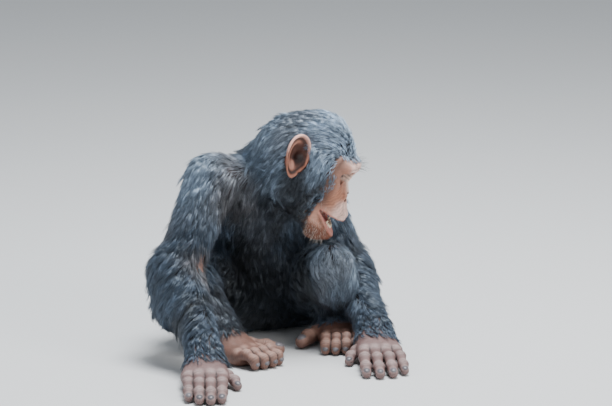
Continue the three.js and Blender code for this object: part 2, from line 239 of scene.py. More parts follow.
def ear_parts(q):
    """Normalised radius, angle and bowl depth of the ear, from its own back, up and out coordinates."""
    b, u = q[..., 0], q[..., 1]
    lean = np.where(u > 0, 1 - 0.16 * u / EAR_H, 1 - 0.34 * u / EAR_H)  # broad above, narrow below
    b = (b - 1.5 * (u / EAR_H) ** 2) * lean
    rho = np.sqrt((b / (EAR_W - 1)) ** 2 + (u / (EAR_H - 1)) ** 2)
    return rho, np.arctan2(u / (EAR_H - 1), b / (EAR_W - 1)), b


def ear_field(p, side):
    c, axes = EARS[side]
    q = (p - c.astype(f32)) @ axes.T.astype(f32)
    u, o = q[..., 1], q[..., 2]
    rho, th, b = ear_parts(q)
    behind = step(np.cos(th), -0.5, 0.4)
    bowl = -9.5 + 12.5 * np.minimum(rho, 1.1) ** 2.2
    # the rolled rim, the inner ridge that runs along it, and the hollow in front of that
    rim = 2.9 * np.exp(-(((rho - 0.93) / 0.085) ** 2)) * (0.35 + 0.65 * step(np.sin(th) + 0.6 * np.cos(th), -0.7, 0.3))
    ridge = 3.4 * np.exp(-(((rho - 0.60) / 0.10) ** 2)) * behind * (0.7 + 0.3 * np.cos(2 * (th - 0.5)))
    pit = -4.0 * np.exp(-((((b + 6) / 7) ** 2 + ((u + 4) / 8.5) ** 2)))
    knob = 3.6 * np.exp(-((((b - 2 - 0.3 * (u + 14)) / 3.2) ** 2 + ((u + 14) / 6.0) ** 2)))
    flap = 5.5 * np.exp(-((((b + 15) / 3.6) ** 2 + ((u + 10) / 6) ** 2)))
    notch = -2.0 * np.exp(-((((b + 10) / 4) ** 2 + ((u + 21) / 4) ** 2)))
    face = bowl + rim + ridge + pit + knob + flap + notch
    back = bowl - 3.2 - 2.5 * np.exp(-(((rho - 0.93) / 0.10) ** 2)) * 0.4 + np.minimum(pit, 0) * 0.6
    mid, half = (face + back) / 2, (face - back) / 2
    d = (np.abs(o - mid) - half) * 0.75
    edge = (rho - 1.0) * 19.0
    d = smax(d, edge, 2.6)
    root = dist(p, cone(h(4, 46 * side, 2), 15, c - axes[2] * 8 - axes[0] * 9 - axes[1] * 2, 9))
    return smin(d, root, 5)


# ---------- the body's shapes, each with the depth of its coat ----------
trunk = [
    egg([8, 92, 60], [72, 86, 66], PELVIS),
    egg([4, 70, 122], [72, 91, 76], PELVIS, 40),
    egg([0, 44, 196], [66, 90, 82], CHEST, 40),
    cone(SHOULDER_R + A(12, 6, -6), 43, SHOULDER_L + A(-12, -6, -2), 41, 34),
]
neck = [cone([-10, 26, 246], 45, h(-16, 0, 3), 49, 20), cone([10, 4, 224], 34, h(12, 0, -36), 34, 26)]
skull = [
    egg(h(8, 0, 11), [67, 57, 52], HEAD),
    egg(h(18, 0, 20), [59, 52, 66], HEAD, 16),
    egg(h(38, 0, 22), [45, 49, 44], HEAD, 14),
    cone(h(70, 34, 35), 9, h(77, 8, 40), 9, 10),
    cone(h(70, -34, 35), 9, h(77, -8, 40), 9, 10),
    egg(h(54, 36, 4), [22, 15, 17], HEAD, 14),
    egg(h(54, -36, 4), [22, 15, 17], HEAD, 14),
    cone(h(60, 0, 22), 9, h(76, 0, -1), 9, 10),
    egg(h(77, 0, -2), [9, 15, 8], HEAD, 8),
    egg(h(66, 0, -20), [36, 33, 24], HEAD, 12),
    egg(h(88, 0, -30), [26, 28, 12], HEAD, 10),
    egg(h(28, 40, -14), [34, 18, 40], HEAD, 20),
    egg(h(28, -40, -14), [34, 18, 40], HEAD, 20),
]
jaw = [
    cone(h(16, 34, -46), 19, h(84, 12, -73), 14, 16),
    cone(h(16, -34, -46), 19, h(84, -12, -73), 14, 16),
    egg(h(88, 0, -71), [25, 25, 12], HEAD, 12),
    egg(h(50, 0, -62), [40, 30, 20], HEAD, 18),
    cone(h(38, 35, -38), 13, h(67, 23, -44), 8, 14),
    cone(h(38, -35, -38), 13, h(67, -23, -44), 8, 14),
]
limbs = {
    "upper_arm_r": [cone(SHOULDER_R, 43, mix(SHOULDER_R, ELBOW_R, 0.5), 38, 8), cone(mix(SHOULDER_R, ELBOW_R, 0.5), 38, ELBOW_R, 38, 8)],
    "forearm_r": [cone(ELBOW_R, 42, WRIST_R, 25, 20), cone([-134, -98, 128], 40, [-128, -128, 86], 38, 26)],
    "upper_arm_l": [cone(SHOULDER_L, 37, ELBOW_L, 37, 20)],
    "forearm_l": [cone(ELBOW_L, 40, WRIST_L, 25, 20), cone([134, 62, 92], 34, [141, 30, 74], 31, 26)],
    "thigh_r": [cone(HIP_R, 57, mix(HIP_R, KNEE_R, 0.5), 49, 8), cone(mix(HIP_R, KNEE_R, 0.5), 49, KNEE_R, 36, 8)],
    "shin_r": [cone(KNEE_R, 35, mix(KNEE_R, ANKLE_R, 0.35), 37, 20), cone(mix(KNEE_R, ANKLE_R, 0.35), 37, ANKLE_R, 25, 20)],
    "thigh_l": [cone(HIP_L, 57, mix(HIP_L, KNEE_L, 0.5), 50, 8), cone(mix(HIP_L, KNEE_L, 0.5), 50, KNEE_L, 36, 8)],
    "shin_l": [cone(KNEE_L, 35, mix(KNEE_L, ANKLE_L, 0.35), 38, 20), cone(mix(KNEE_L, ANKLE_L, 0.35), 38, ANKLE_L, 27, 20)],
}
BONES = {
    "trunk": (A(10, 96, -4), A(-5, 22, 252)), "neck": (A(-10, 26, 240), h(-16, 0, 3)),
    "head": (h(-62, 0, 4), h(100, 0, 4)), "jaw": (h(0, 0, -46), h(112, 0, -80)),
    "upper_arm_r": (SHOULDER_R, ELBOW_R), "forearm_r": (ELBOW_R, WRIST_R), "upper_arm_l": (SHOULDER_L, ELBOW_L), "forearm_l": (ELBOW_L, WRIST_L),
    "thigh_r": (HIP_R, KNEE_R), "shin_r": (KNEE_R, ANKLE_R), "thigh_l": (HIP_L, KNEE_L), "shin_l": (KNEE_L, ANKLE_L),
}


def bare_face(p):
    """1 on the bare skin of the face and chin, 0 where hair grows, in the head's frame."""
    q = to_head(p)
    x, y, z = q[..., 0], np.abs(q[..., 1]), q[..., 2]
    edge = np.interp(z, [-90, -80, -58, -39, -20, 5, 22, 43, 50], [75, 73, 66, 64, 65, 56, 51, 52, 55])
    side = step(x - edge, -5, 5)
    return side * step(48 - z - 0.05 * y, -3, 4) * step(y, 60, 44) * step(-z, 98, 88)


def bare_skin(p):
    """The same, and 0 on the knee that the chin rests on."""
    chin = np.minimum(union(p, jaw), union(p, skull))
    return bare_face(p) * step(union(p, limbs["thigh_l"]) + 9.5 - chin, -2.0, 1.5)


def depth_head(p):
    return 6.5 * (1 - bare_face(p))


def depth_limb(name, first, last):
    a, b = BONES[name]
    return lambda p: first + (last - first) * step(along(p, a, b), 0.45, 1.0)


DEPTH = {"trunk": lambda p: 10.0, "neck": lambda p: 9.0, "head": depth_head, "jaw": depth_head}
for n in limbs:
    DEPTH[n] = depth_limb(n, 9.5, 3.0 if ("forearm" in n or "shin" in n) else 9.5)
HAIRED = {"trunk": trunk, "neck": neck, "head": skull, "jaw": jaw, **limbs}
KNEE_TOP = KNEE_L + A(-8, 2, 34)


def join_at(p, k):
    """How softly a part runs into its neighbours: hard where the knee meets the chin."""
    near = step(np.sqrt(((p - KNEE_TOP.astype(f32)) ** 2).sum(-1)), 40, 62)
    return (1.2 + (k - 1.2) * near).astype(f32)


JOIN = {"trunk": 14, "neck": 16, "head": 12, "jaw": 18, "upper_arm_r": 14, "upper_arm_l": 14, "forearm_r": 8, "forearm_l": 8, "thigh_r": 12, "thigh_l": 12, "shin_r": 6, "shin_l": 6}


def haired(p, name):
    return union(p, HAIRED[name]) + np.asarray(DEPTH[name](p), f32)


def face_front(y, z):
    """How far forward the face reaches at this height and side, before it is carved."""
    x = np.arange(60, 130, 0.5)
    pts = np.array([h(v, y, z) for v in x])
    inside = union(pts.astype(f32), skull) < 0
    return float(x[inside].max()) if inside.any() else 60.0


NOSE = {s_: [face_front(7.5 * s_, zz_) for zz_ in (6, 0, -6)] for s_ in (1, -1)}
NOSE_TIP = face_front(0, 0)


def face_lines(p):
    """Wrinkles and folds of the face: how deep each place lies below the smooth form, in mm."""
    q = to_head(p)
    x, y, z = q[..., 0], q[..., 1], q[..., 2]
    ay = np.abs(y)
    wob = 1.3 * waves(p, 15, 2)
    r_e = np.sqrt((x - EYE_AT[0]) ** 2 + (ay - EYE_AT[1]) ** 2 + (z - EYE_AT[2]) ** 2)
    rough = 0.55 + 0.45 * np.clip(waves(p, 9, 11) * 1.6 + 0.5, 0, 1)
    wob = wob + 0.7 * waves(p, 6, 5)
    f = 0.42 * np.cos((r_e + wob) * 2 * np.pi / 4.3) * step(EYE_AT[2] - 4 - z, -2, 4) * step(r_e, 31, 22) * step(r_e, 14, 16.5)
    f = f + 0.30 * np.cos((0.72 * z - 0.70 * x + 0.5 * ay + 1.6 * wob) * 2 * np.pi / 4.6) * step(ay, 13, 20) * step(x, 60, 68) * step(-z, -6, 2) * step(z, -36, -26)
    fan = np.arctan2(y, np.maximum(16 - z, 1))
    f = f + 0.24 * np.cos(fan * 32 + wob) * step(x, 80, 92) * step(-z, 8, 16) * step(z, -40, -33)
    f = f + 0.20 * np.cos((z + 0.3 * x + 2.2 * wob) * 2 * np.pi / 4.2) * step(x, 60, 80) * step(-z, 58, 64)
    f = f + 0.55 * np.cos((z + wob) * 2 * np.pi / 4.6) * step(x, 66, 72) * step(ay, 13, 7) * step(z, 13, 18) * step(-z, -36, -31)
    f = f + 0.30 * np.cos((z + 0.2 * ay + wob) * 2 * np.pi / 5.0) * step(x, 62, 70) * step(z, 33, 38) * step(ay, 46, 38)
    return f * rough


def mouth_open(p):
    """The wedge between the lips, its point at the corners of the mouth."""
    q = to_head(p)
    x, y, z = q[..., 0], q[..., 1], q[..., 2]
    top = -38.6 + 0.8 * np.cos(y / 7.0)
    low = -40.6 - 0.61 * (x - 74) - 0.010 * (np.abs(y) - 10) ** 2 * step(x, 84, 100)
    wedge = smax(np.abs(z - (top + low) / 2) - (top - low) / 2, 74 - x, 2.5)
    return smax(smax(wedge, x - 119, 2), np.abs(y) - 39, 2)


def tube(p, pts, r):
    return union(p, [cone(h(*pts[i]), r, h(*pts[i + 1]), r, 1.5) for i in range(len(pts) - 1)])


LOWER_LIP = [(77, 27, -43.5), (90, 24, -51.5), (102, 17.5, -59.5), (109, 9, -64.0), (111, 0, -65.5)]
UPPER_LIP = [(77, 28.5, -38), (92, 27, -37), (104, 20, -36.5), (110.5, 10, -37), (112, 0, -37.5)]
GUM = [(86, 17.5, -52), (95, 14.5, -57), (101, 8.5, -60.5), (103, 0, -62)]


def both(pts):
    return pts + [(x, -y, z) for x, y, z in pts[-2::-1]]


def face_cuts(p, d):
    """Eye sockets, lids, nostrils, mouth, tongue and folds, in the head's frame."""
    q = to_head(p)
    x, y, z = q[..., 0], q[..., 1], q[..., 2]
    for side in (1, -1):
        e = EYE_AT * A(1, side, 1)
        from_eye = np.sqrt(((p - h(*e).astype(f32)) ** 2).sum(-1))
        socket = dist(p, egg(h(e[0] + 17, e[1] + 2 * side, e[2] + 1.5), [15, 16, 12.5], HEAD))
        d = smax(d, -socket, 6)
        d = smin(d, from_eye - 13.1, 3.0)
        # the fold above the upper lid, and the two lid margins
        fold = np.abs(z - (e[2] + 7.6 + 0.05 * np.abs(y - e[1]) ** 1.5))
        d = d + 1.5 * np.exp(-((fold / 1.3) ** 2)) * step(from_eye, 23, 15)
        rimline = np.abs(z - (e[2] + 1.9 - 0.024 * (y - e[1]) ** 2))
        d = d - 0.8 * np.exp(-((rimline / 1.1) ** 2)) * step(from_eye, 16, 12.5)
        rimline = np.abs(z - (e[2] - 7.2 + 0.016 * (y - e[1]) ** 2))
        d = d - 0.7 * np.exp(-((rimline / 1.1) ** 2)) * step(from_eye, 16, 12.5)
        slit = dist(p, egg(h(e[0] + 11, e[1] + 0.4 * side, e[2] - 2.6), [12, 10.4, 4.1], HEAD))
        d = smax(d, -slit, 0.9)
        d = smax(d, -(from_eye - 11.2), 0.6)
        # the wing of the nose and the nostril
        n1, n2, n3 = NOSE[side]
        wing = dist(p, cone(h(n1 - 3.8, 9.0 * side, 7), 4.4, h(n3 - 3.2, 12.0 * side, -6), 6.0))
        d = smin(d, wing, 4)
        crease = dist(p, cone(h(n1 - 5.0, 15.5 * side, 9), 1.0, h(n3 - 2.0, 19.5 * side, -10), 1.4))
        d = smax(d, -crease, 3.5)
        hole = dist(p, cone(h(n3 + 1.6, 10.6 * side, -7.5), 4.3, h(n2 - 7.0, 5.0 * side, -1), 2.4))
        d = smax(d, -hole, 1.4)
    groove = dist(p, cone(h(NOSE_TIP + 1.5, 0, 5), 1.5, h(NOSE_TIP + 2.5, 0, -9), 1.5))
    d = smax(d, -groove, 3)
    d = d + (face_lines(p) * step(x, 52, 62) * step(np.abs(y), 44, 34)).astype(f32)
    # the open mouth, the lips rolled outwards, gum and tongue
    lips = np.minimum(tube(p, both(LOWER_LIP), 3.0), tube(p, both(UPPER_LIP), 2.6))
    d = smin(d, lips, 4)
    cavity = union(p, [cone(h(60, 0, -47), 8, h(84, 0, -51), 13, 6), egg(h(92, 0, -54), [15, 15, 11], HEAD, 6)])
    d = smax(d, -smin(mouth_open(p), cavity, 3), 2.2)
    d = smin(d, tube(p, both(GUM), 3.0), 2)
    tongue = union(p, [cone(h(56, 0, -52), 12, h(84, 0, -61), 9.5, 8), egg(h(91, 0, -61.5), [9.5, 10, 5], HEAD, 6)])
    return smin(d, tongue, 2)


def field(p, where):
    """The skin's surface is where this is zero. p is (n, 3) in millimetres, all near the part named by where."""
    p = p.astype(f32)
    near = ("trunk", "neck", "head", "jaw", "upper_arm_r", "upper_arm_l") if where == "head" else REACH[where]
    d = haired(p, near[0])
    for n in near[1:]:
        d = smin(d, haired(p, n), join_at(p, JOIN[n]))
    if where == "head":
        d = face_cuts(p, d)
        for s in (1, -1):
            d = smin(d, ear_field(p, s), 4)
    else:
        d = smin(d, grope(p, *GROPES[where]), 8)
    return smax(d, 0.35 - p[..., 2], 1.0)


REACH = {"hand_r": ["forearm_r"], "hand_l": ["forearm_l"], "foot_r": ["trunk", "thigh_r", "shin_r"], "foot_l": ["trunk", "thigh_l", "shin_l"]}


def grope(p, palm, chains):
    g = None
    for pts, r, _ in chains:
        e = union(p, digit_shapes(pts, r))
        for i in range(1, len(pts) - 1):
            way = unit(pts[i + 1] - pts[i - 1]).astype(f32)
            off = p - pts[i].astype(f32)
            run = off @ way
            e = e + 0.50 * np.cos(run * 2 * np.pi / 3.4) * np.exp(-((run / 5.0) ** 2)) * step(off[..., 2], 0, 3)
        g = e if g is None else smin(g, e, 1.6)
    return smin(union(p, palm), g, 5)


# ---------- the field on a grid ----------
H = 2.25
LOW = A(-186, -362, -8)
SIZE = (np.ceil((A(222, 178, 372) - LOW) / H)).astype(int) + 1
grid = np.full(SIZE, 24.0, f32)


def stamp(fn, low, high, k, cut=False):
    """Joins fn, worked out inside a box, to the grid, or hands fn what is there so that it can carve it."""
    i0 = np.maximum(((np.asarray(low) - LOW) / H).astype(int), 0)
    i1 = np.minimum(((np.asarray(high) - LOW) / H).astype(int) + 2, SIZE)
    axes = [(LOW[a] + H * np.arange(i0[a], i1[a])).astype(f32) for a in range(3)]
    p = np.stack(np.meshgrid(*axes, indexing="ij"), -1)
    sl = tuple(slice(a, b) for a, b in zip(i0, i1))
    grid[sl] = fn(p, grid[sl]) if cut else smin(grid[sl], fn(p), join_at(p, k))


def box_of(shapes, pad):
    pts, rs = [], []
    for s in shapes:
        pts += [s[1]] if s[0] == "egg" else [s[1], s[3]]
        rs += [float(max(s[2]))] if s[0] == "egg" else [s[2], s[4]]
    pts, rs = np.array(pts), np.array(rs)[:, None]
    return (pts - rs).min(0) - pad, (pts + rs).max(0) + pad


for n in HAIRED:
    a, b = box_of(HAIRED[n], 18)
    stamp(lambda p, n=n: haired(p, n), a, b, JOIN[n])
stamp(face_cuts, h(60, 0, -20) - 110, h(60, 0, -20) + 110, 0, cut=True)
for s in (1, -1):
    stamp(lambda p, s=s: ear_field(p, s), EARS[s][0] - 44, EARS[s][0] + 44, 4)
for palm, chains in GROPES.values():
    shapes = palm + [s for pts, r, _ in chains for s in digit_shapes(pts, r)]
    a, b = box_of(shapes, 10)
    stamp(lambda p, palm=palm, chains=chains: grope(p, palm, chains), a, b, 8)
zz = (LOW[2] + H * np.arange(SIZE[2])).astype(f32)
grid = smax(grid, 0.35 - zz, 1.0).astype(f32)
grid = np.clip(grid, -24, 24)


def sample(arr, p):
    """Trilinear look-up in the grid."""
    g = (p - LOW) / H
    g = np.clip(g, 0, np.array(arr.shape[:3]) - 1.001)
    i = g.astype(int)
    f = (g - i).astype(f32)
    out = 0
    for dx in (0, 1):
        for dy in (0, 1):
            for dz in (0, 1):
                w = (f[:, 0] if dx else 1 - f[:, 0]) * (f[:, 1] if dy else 1 - f[:, 1]) * (f[:, 2] if dz else 1 - f[:, 2])
                out = out + w * arr[i[:, 0] + dx, i[:, 1] + dy, i[:, 2] + dz]
    return out


def slope(p, e=2.5):
    g = np.stack([sample(grid, p + d) - sample(grid, p - d) for d in np.eye(3) * e], -1)
    return unit(g)


CORNERS = np.array([[1, -1, -1], [-1, -1, 1], [-1, 1, -1], [1, 1, 1]], float)


def fine_slope(p, where, e=0.45):
    return unit(sum(k * field(p + k * e, where)[:, None] for k in CORNERS))


def grope_near(p, n, pad=12.0):
    """Distance to a hand or foot, worked out only near it."""
    palm, chains = GROPES[n]
    a, b = box_of(palm + [s for c in chains for s in digit_shapes(c[0], c[1])], pad)
    out = np.full(len(p), 50.0)
    near = ((p > a) & (p < b)).all(-1)
    out[near] = grope(p[near].astype(f32), palm, chains)
    return out


# ---------- the skin's mesh ----------
print("seconds", round(time.time() - START, 1))
vdb = openvdb.FloatGrid(24.0)
vdb.copyFromArray(grid)
pts, tris, quads = vdb.convertToPolygons(0.0, 0.0)
pts = pts.astype(float) * H + LOW
mesh = bpy.data.meshes.new("skin")
mesh.from_pydata([tuple(v) for v in pts], [], [tuple(int(i) for i in q) for q in quads] + [tuple(int(i) for i in t) for t in tris])
bm = bmesh.new()
bm.from_mesh(mesh)
bmesh.ops.recalc_face_normals(bm, faces=bm.faces)


def refine(pick):
    """Halves the edges of the faces that pick chooses."""
    co = np.array([v.co for v in bm.verts])
    chosen = pick(co)
    bm.verts.ensure_lookup_table()
    edges = [e for e in bm.edges if chosen[e.verts[0].index] and chosen[e.verts[1].index]]
    bmesh.ops.subdivide_edges(bm, edges=edges, cuts=1, use_grid_fill=True)
    bm.verts.index_update()


def settle(pick, where, times=2, lim=1.2):
    bm.verts.ensure_lookup_table()
    co = np.array([v.co for v in bm.verts])
    idx = np.where(pick(co))[0]
    p = co[idx]
    for _ in range(times):
        d = field(p, where)
        p = p - fine_slope(p, where) * np.clip(d, -lim, lim)[:, None] * 0.9
    for i, v in zip(idx, p):
        bm.verts[i].co = v


def near_digits(p, pad=1.0, only=None):
    out = np.zeros(len(p), bool)
    for n, (palm, chains) in GROPES.items():
        if only in (None, n):
            a, b = box_of(palm + [s for c in chains for s in digit_shapes(c[0], c[1])], pad)
            out |= ((p > a) & (p < b)).all(-1)
    return out


def near_head(p):
    q = to_head(p)
    face = (q[:, 0] > 50) & (q[:, 2] > -92) & (q[:, 2] < 52) & (np.abs(q[:, 1]) < 48)
    ears = np.zeros(len(p), bool)
    for s in (1, -1):
        c, axes = EARS[s]
        r = (p - c) @ axes.T
        ears |= (np.abs(r[:, 0]) < 23) & (np.abs(r[:, 1]) < 38) & (np.abs(r[:, 2]) < 14)
    return face | ears


def near_eyes(p):
    q = to_head(p)
    e = np.sqrt((q[:, 0] - 64) ** 2 + (np.abs(q[:, 1]) - 21) ** 2 + (q[:, 2] - 18) ** 2) < 16
    nose = np.sqrt((q[:, 0] - 92) ** 2 + q[:, 1] ** 2 + (q[:, 2] + 3) ** 2) < 19
    lips = (q[:, 0] > 94) & (q[:, 2] < -32) & (q[:, 2] > -72) & (np.abs(q[:, 1]) < 30)
    return e | nose | lips


refine(lambda p: near_head(p) | near_digits(p))
settle(near_head, "head")
for n in GROPES:
    settle(lambda p, n=n: near_digits(p, 1.0, n), n)
refine(near_eyes)
settle(near_eyes, "head", 2, 0.6)
bm.to_mesh(mesh)
bm.free()
mesh.update()
V = np.empty(len(mesh.vertices) * 3)
mesh.vertices.foreach_get("co", V)
V = V.reshape(-1, 3)


# ---------- colours, by place on the body ----------
print("seconds", round(time.time() - START, 1))
def srgb(r, g, b):
    c = A(r, g, b) / 255
    return np.where(c <= 0.04045, c / 12.92, ((c + 0.055) / 1.055) ** 2.4)


COAT_UNDER = srgb(30, 26, 26)


def blend(col, to, w):
    return col * (1 - w[:, None]) + np.asarray(to) * w[:, None]


def spot(p, c, r):
    return step(np.sqrt(((p - c) ** 2).sum(-1)), r, r * 0.45)


CHEST_PATCH = A(-38, -38, 250)  # thin-haired skin at the front of the right shoulder
ELBOW_PATCH = A(-86, -100, 150)  # bare skin inside the right elbow
NIPPLE = A(-33, -52, 164)


def skin_colour(p):
    q = to_head(p)
    x, y, z, ay = q[:, 0], q[:, 1], q[:, 2], np.abs(q[:, 1])
    col = np.tile(COAT_UNDER, (len(p), 1))
    col = blend(col, srgb(88, 70, 64), spot(p, CHEST_PATCH, 60) * 0.75)
    col = blend(col, srgb(142, 110, 100), spot(p, ELBOW_PATCH, 36))
    # face
    f = bare_skin(p)
    inhead = ((np.abs(x - 60) < 75) & (ay < 75) & (z > -110) & (z < 95)).astype(float)
    f = f * inhead
    col = blend(col, srgb(186, 136, 116), f)
    col = blend(col, srgb(140, 90, 68), f * step(waves(p, 26, 9), 0.0, 0.8) * 0.5)
    # pale skin of the brow with a painted highlight on its top, pale upper lip, brown between nose and cheek; the pale
    # bridge of the nose comes further down
    col = blend(col, srgb(218, 182, 170), f * step(z, 30, 36) * step(ay, 44, 32) * 0.95)
    col = blend(col, srgb(150, 92, 62), f * step(ay, 12, 20) * step(-z, -14, -4) * step(z, -34, -22) * 0.65)
    col = blend(col, srgb(230, 192, 180), f * step(x, 84, 98) * step(-z, 8, 18) * step(z, -58, -50) * 0.8)
    for s in (1, -1):
        e = h(EYE_AT[0] + 8, EYE_AT[1] * s, EYE_AT[2])
        r_e = np.sqrt(((p - h(EYE_AT[0], EYE_AT[1] * s, EYE_AT[2])) ** 2).sum(-1))
        # painted shade in the eye's socket under the brow
        col = blend(col, srgb(112, 68, 50), f * spot(p, e, 27) * step(34 - z, -3, 5) * 0.85)
        # painted highlight on the lids
        on_lid = step(r_e, 15.5, 13.2)
        col = blend(col, srgb(156, 108, 90), f * on_lid * 0.85)
        slit = dist(p.astype(f32), egg(h(EYE_AT[0] + 11, (EYE_AT[1] + 0.4) * s, EYE_AT[2] - 2.6), [12, 10.4, 4.1], HEAD)).astype(float)
        col = blend(col, srgb(34, 20, 16), f * on_lid * step(slit, 1.8, 0.4))
        # painted shade in the fold between brow and upper lid
        fold = np.abs(z - (EYE_AT[2] + 7.6 + 0.05 * np.abs(y - EYE_AT[1] * s) ** 1.5))
        col = blend(col, srgb(50, 27, 20), f * step(r_e, 24, 16) * np.exp(-((fold / 1.8) ** 2)) * 0.85)
    # pale bridge of the nose: pale skin with a painted highlight along it
    col = blend(col, srgb(220, 190, 176), f * step(z, -12, 2) * step(30 - z, -4, 8) * step(ay, 15, 8) * 0.92)
    # painted shade in the nostrils
    for s in (1, -1):
        hole = dist(p.astype(f32), cone(h(NOSE[s][2] + 1.6, 10.6 * s, -7.5), 4.3, h(NOSE[s][1] - 7.0, 5.0 * s, -1), 2.4)).astype(float)
        col = blend(col, srgb(52, 18, 14), f * step(hole, 1.2, 0.0))
    col = blend(col, srgb(98, 52, 31), f * step(-z, 57, 66) * 0.94)
    col = blend(col, srgb(70, 38, 26), f * step(-z, 66, 82) * step(waves(p, 12, 2), -0.3, 0.5) * 0.7)
    # painted shade at the back of the bare face, next to the hair
    edge = x - np.interp(z, [-90, -80, -58, -39, -20, 5, 22, 43, 50], [75, 73, 66, 64, 65, 56, 51, 52, 55])
    col = blend(col, srgb(62, 40, 32), f * step(edge, 24, 4) * step(z, -52, -24) * 0.82)
    # painted shade in the grooves of the wrinkles and painted highlight on their ridges
    lines = np.zeros(len(p))
    lines[f > 0.02] = face_lines(p[f > 0.02])
    col = col * (1 - f * np.clip(lines * 0.75, -0.22, 0.42))[:, None]
    near_edge = inhead * (1 - f) * step(edge, -16, -2) * step(ay, 70, 62) * step(-z, -34, -26) * step(z, -88, -76)
    col = blend(col, srgb(72, 52, 44), near_edge * 0.9)
    # lips, mouth and tongue
    gap = mouth_open(p.astype(f32)).astype(float)
    under = -np.minimum(union(p.astype(f32), skull), union(p.astype(f32), jaw)).astype(float)
    lip = inhead * step(gap, 4.5, 1.5) * step(x, 72, 78)
    col = blend(col, srgb(182, 116, 102), lip * 0.8)
    # the mouth's red lining, darkened deeper inside as painted shade
    inside = inhead * step(gap, 3.0, 0.5) * step(under, 1.0, 4.5) * step(x, 50, 56)
    col = blend(col, srgb(84, 24, 22), inside)
    gum = step(tube(p.astype(f32), both(GUM), 3.0).astype(float), 1.2, 0.2) * inhead
    col = blend(col, srgb(184, 106, 98), gum * 0.9)
    tng = step(union(p.astype(f32), [cone(h(56, 0, -52), 12, h(84, 0, -61), 9.5, 8), egg(h(91, 0, -61.5), [9.5, 10, 5], HEAD, 6)]).astype(float), 1.0, 0.2) * inhead
    col = blend(col, srgb(154, 74, 70), tng)
    # ears
    for s in (1, -1):
        c, axes = EARS[s]
        r = (p - c) @ axes.T
        near_ear = (np.abs(r) < A(30, 42, 26)).all(-1)
        k = np.zeros(len(p))
        k[near_ear] = step(ear_field(p[near_ear], s).astype(float), 2.5, 0.8)
        rho, th, bb = ear_parts(r)
        front = step(r[:, 2] - (-9.5 + 12.5 * np.minimum(rho, 1.1) ** 2.2), -2.0, -0.2)
        rim = step(rho, 0.76, 0.92)
        col = blend(col, srgb(150, 84, 66), k)
        # painted shade in the bowl, the pit and the groove inside the rim; painted highlight on the lit top of the rim,
        # on the inner ridge and on the knob
        col = blend(col, srgb(76, 42, 32), k * front * (1 - rim))
        col = blend(col, srgb(156, 102, 82), k * rim)
        col = blend(col, srgb(228, 174, 158), k * step(rho, 0.70, 0.86) * step(np.sin(th), -0.2, 0.6))
        col = blend(col, srgb(190, 132, 112), k * front * np.exp(-(((rho - 0.60) / 0.10) ** 2)) * step(np.cos(th), -0.7, 0.2) * 0.85)
        col = blend(col, srgb(26, 10, 8), k * front * step(np.sqrt(((bb + 6) / 9) ** 2 + ((r[:, 1] + 4) / 11) ** 2), 1.15, 0.4) * 0.95)
        col = blend(col, srgb(204, 146, 126), k * front * step(np.sqrt(((bb - 2 - 0.3 * (r[:, 1] + 14)) / 4.6) ** 2 + ((r[:, 1] + 14) / 7.5) ** 2), 1.2, 0.3) * 0.8)
        col = blend(col, srgb(30, 12, 9), k * front * np.exp(-(((rho - 0.78) / 0.07) ** 2)) * 0.85)
    # hands and feet
    for n, (palm, chains) in GROPES.items():
        d = grope_near(p, n)
        on = step(d, 3.0, 0.6)
        base = srgb(112, 88, 85) if "hand" in n else srgb(112, 80, 69)
        col = blend(col, base, on)
        for pts_, r_, _ in chains:
            for j, pt in enumerate(pts_[1:], 1):
                # painted highlight on the tops of the digits' joints
                top = pt + A(0, 0, r_ * 0.7)
                col = blend(col, srgb(172, 152, 148) if "hand" in n else srgb(188, 152, 138), on * spot(p, top, r_ * 1.25) * (0.55 if j < len(pts_) - 1 else 0.3))
        wrist = {"hand_r": WRIST_R, "hand_l": WRIST_L, "foot_r": ANKLE_R, "foot_l": ANKLE_L}[n]
        col = blend(col, srgb(84, 68, 66), on * spot(p, wrist, 50) * 0.7)
        # painted shade between the digits, and in the folds over the joints
        pick_ = np.where(d < 6)[0]
        pp = p[pick_].astype(f32)
        ds = np.sort(np.stack([union(pp, digit_shapes(c[0], c[1])) for c in chains], -1), -1)
        gap_shade = np.zeros(len(p))
        gap_shade[pick_] = step(ds[:, 1] - ds[:, 0], 3.2, 0.4) * step(ds[:, 1], 4.5, 2.0) * 0.9
        col = blend(col, srgb(34, 22, 21), gap_shade * on)
        fold_shade = np.zeros(len(pick_))
        for pts_, r_, _ in chains:
            own = step(union(pp, digit_shapes(pts_, r_)).astype(float), 2.0, 0.8)
            for j in range(1, len(pts_) - 1):
                run = (pp - pts_[j]) @ unit(pts_[j + 1] - pts_[j - 1])
                fold_shade = np.maximum(fold_shade, own * step(np.cos(run * 2 * np.pi / 3.4), 0.1, 0.9) * np.exp(-((run / 6.0) ** 2)) * 0.6)
        # crease holds the painted shade in the folds over the joints
        crease = np.zeros(len(p))
        crease[pick_] = fold_shade
        col = blend(col, srgb(48, 33, 31), crease * on)
    col = blend(col, srgb(150, 92, 80), spot(p, NIPPLE, 9))
    return np.clip(col * (1 + 0.10 * waves(p, 9)[:, None] + 0.06 * waves(p, 3.5, 8)[:, None]), 0, 1)


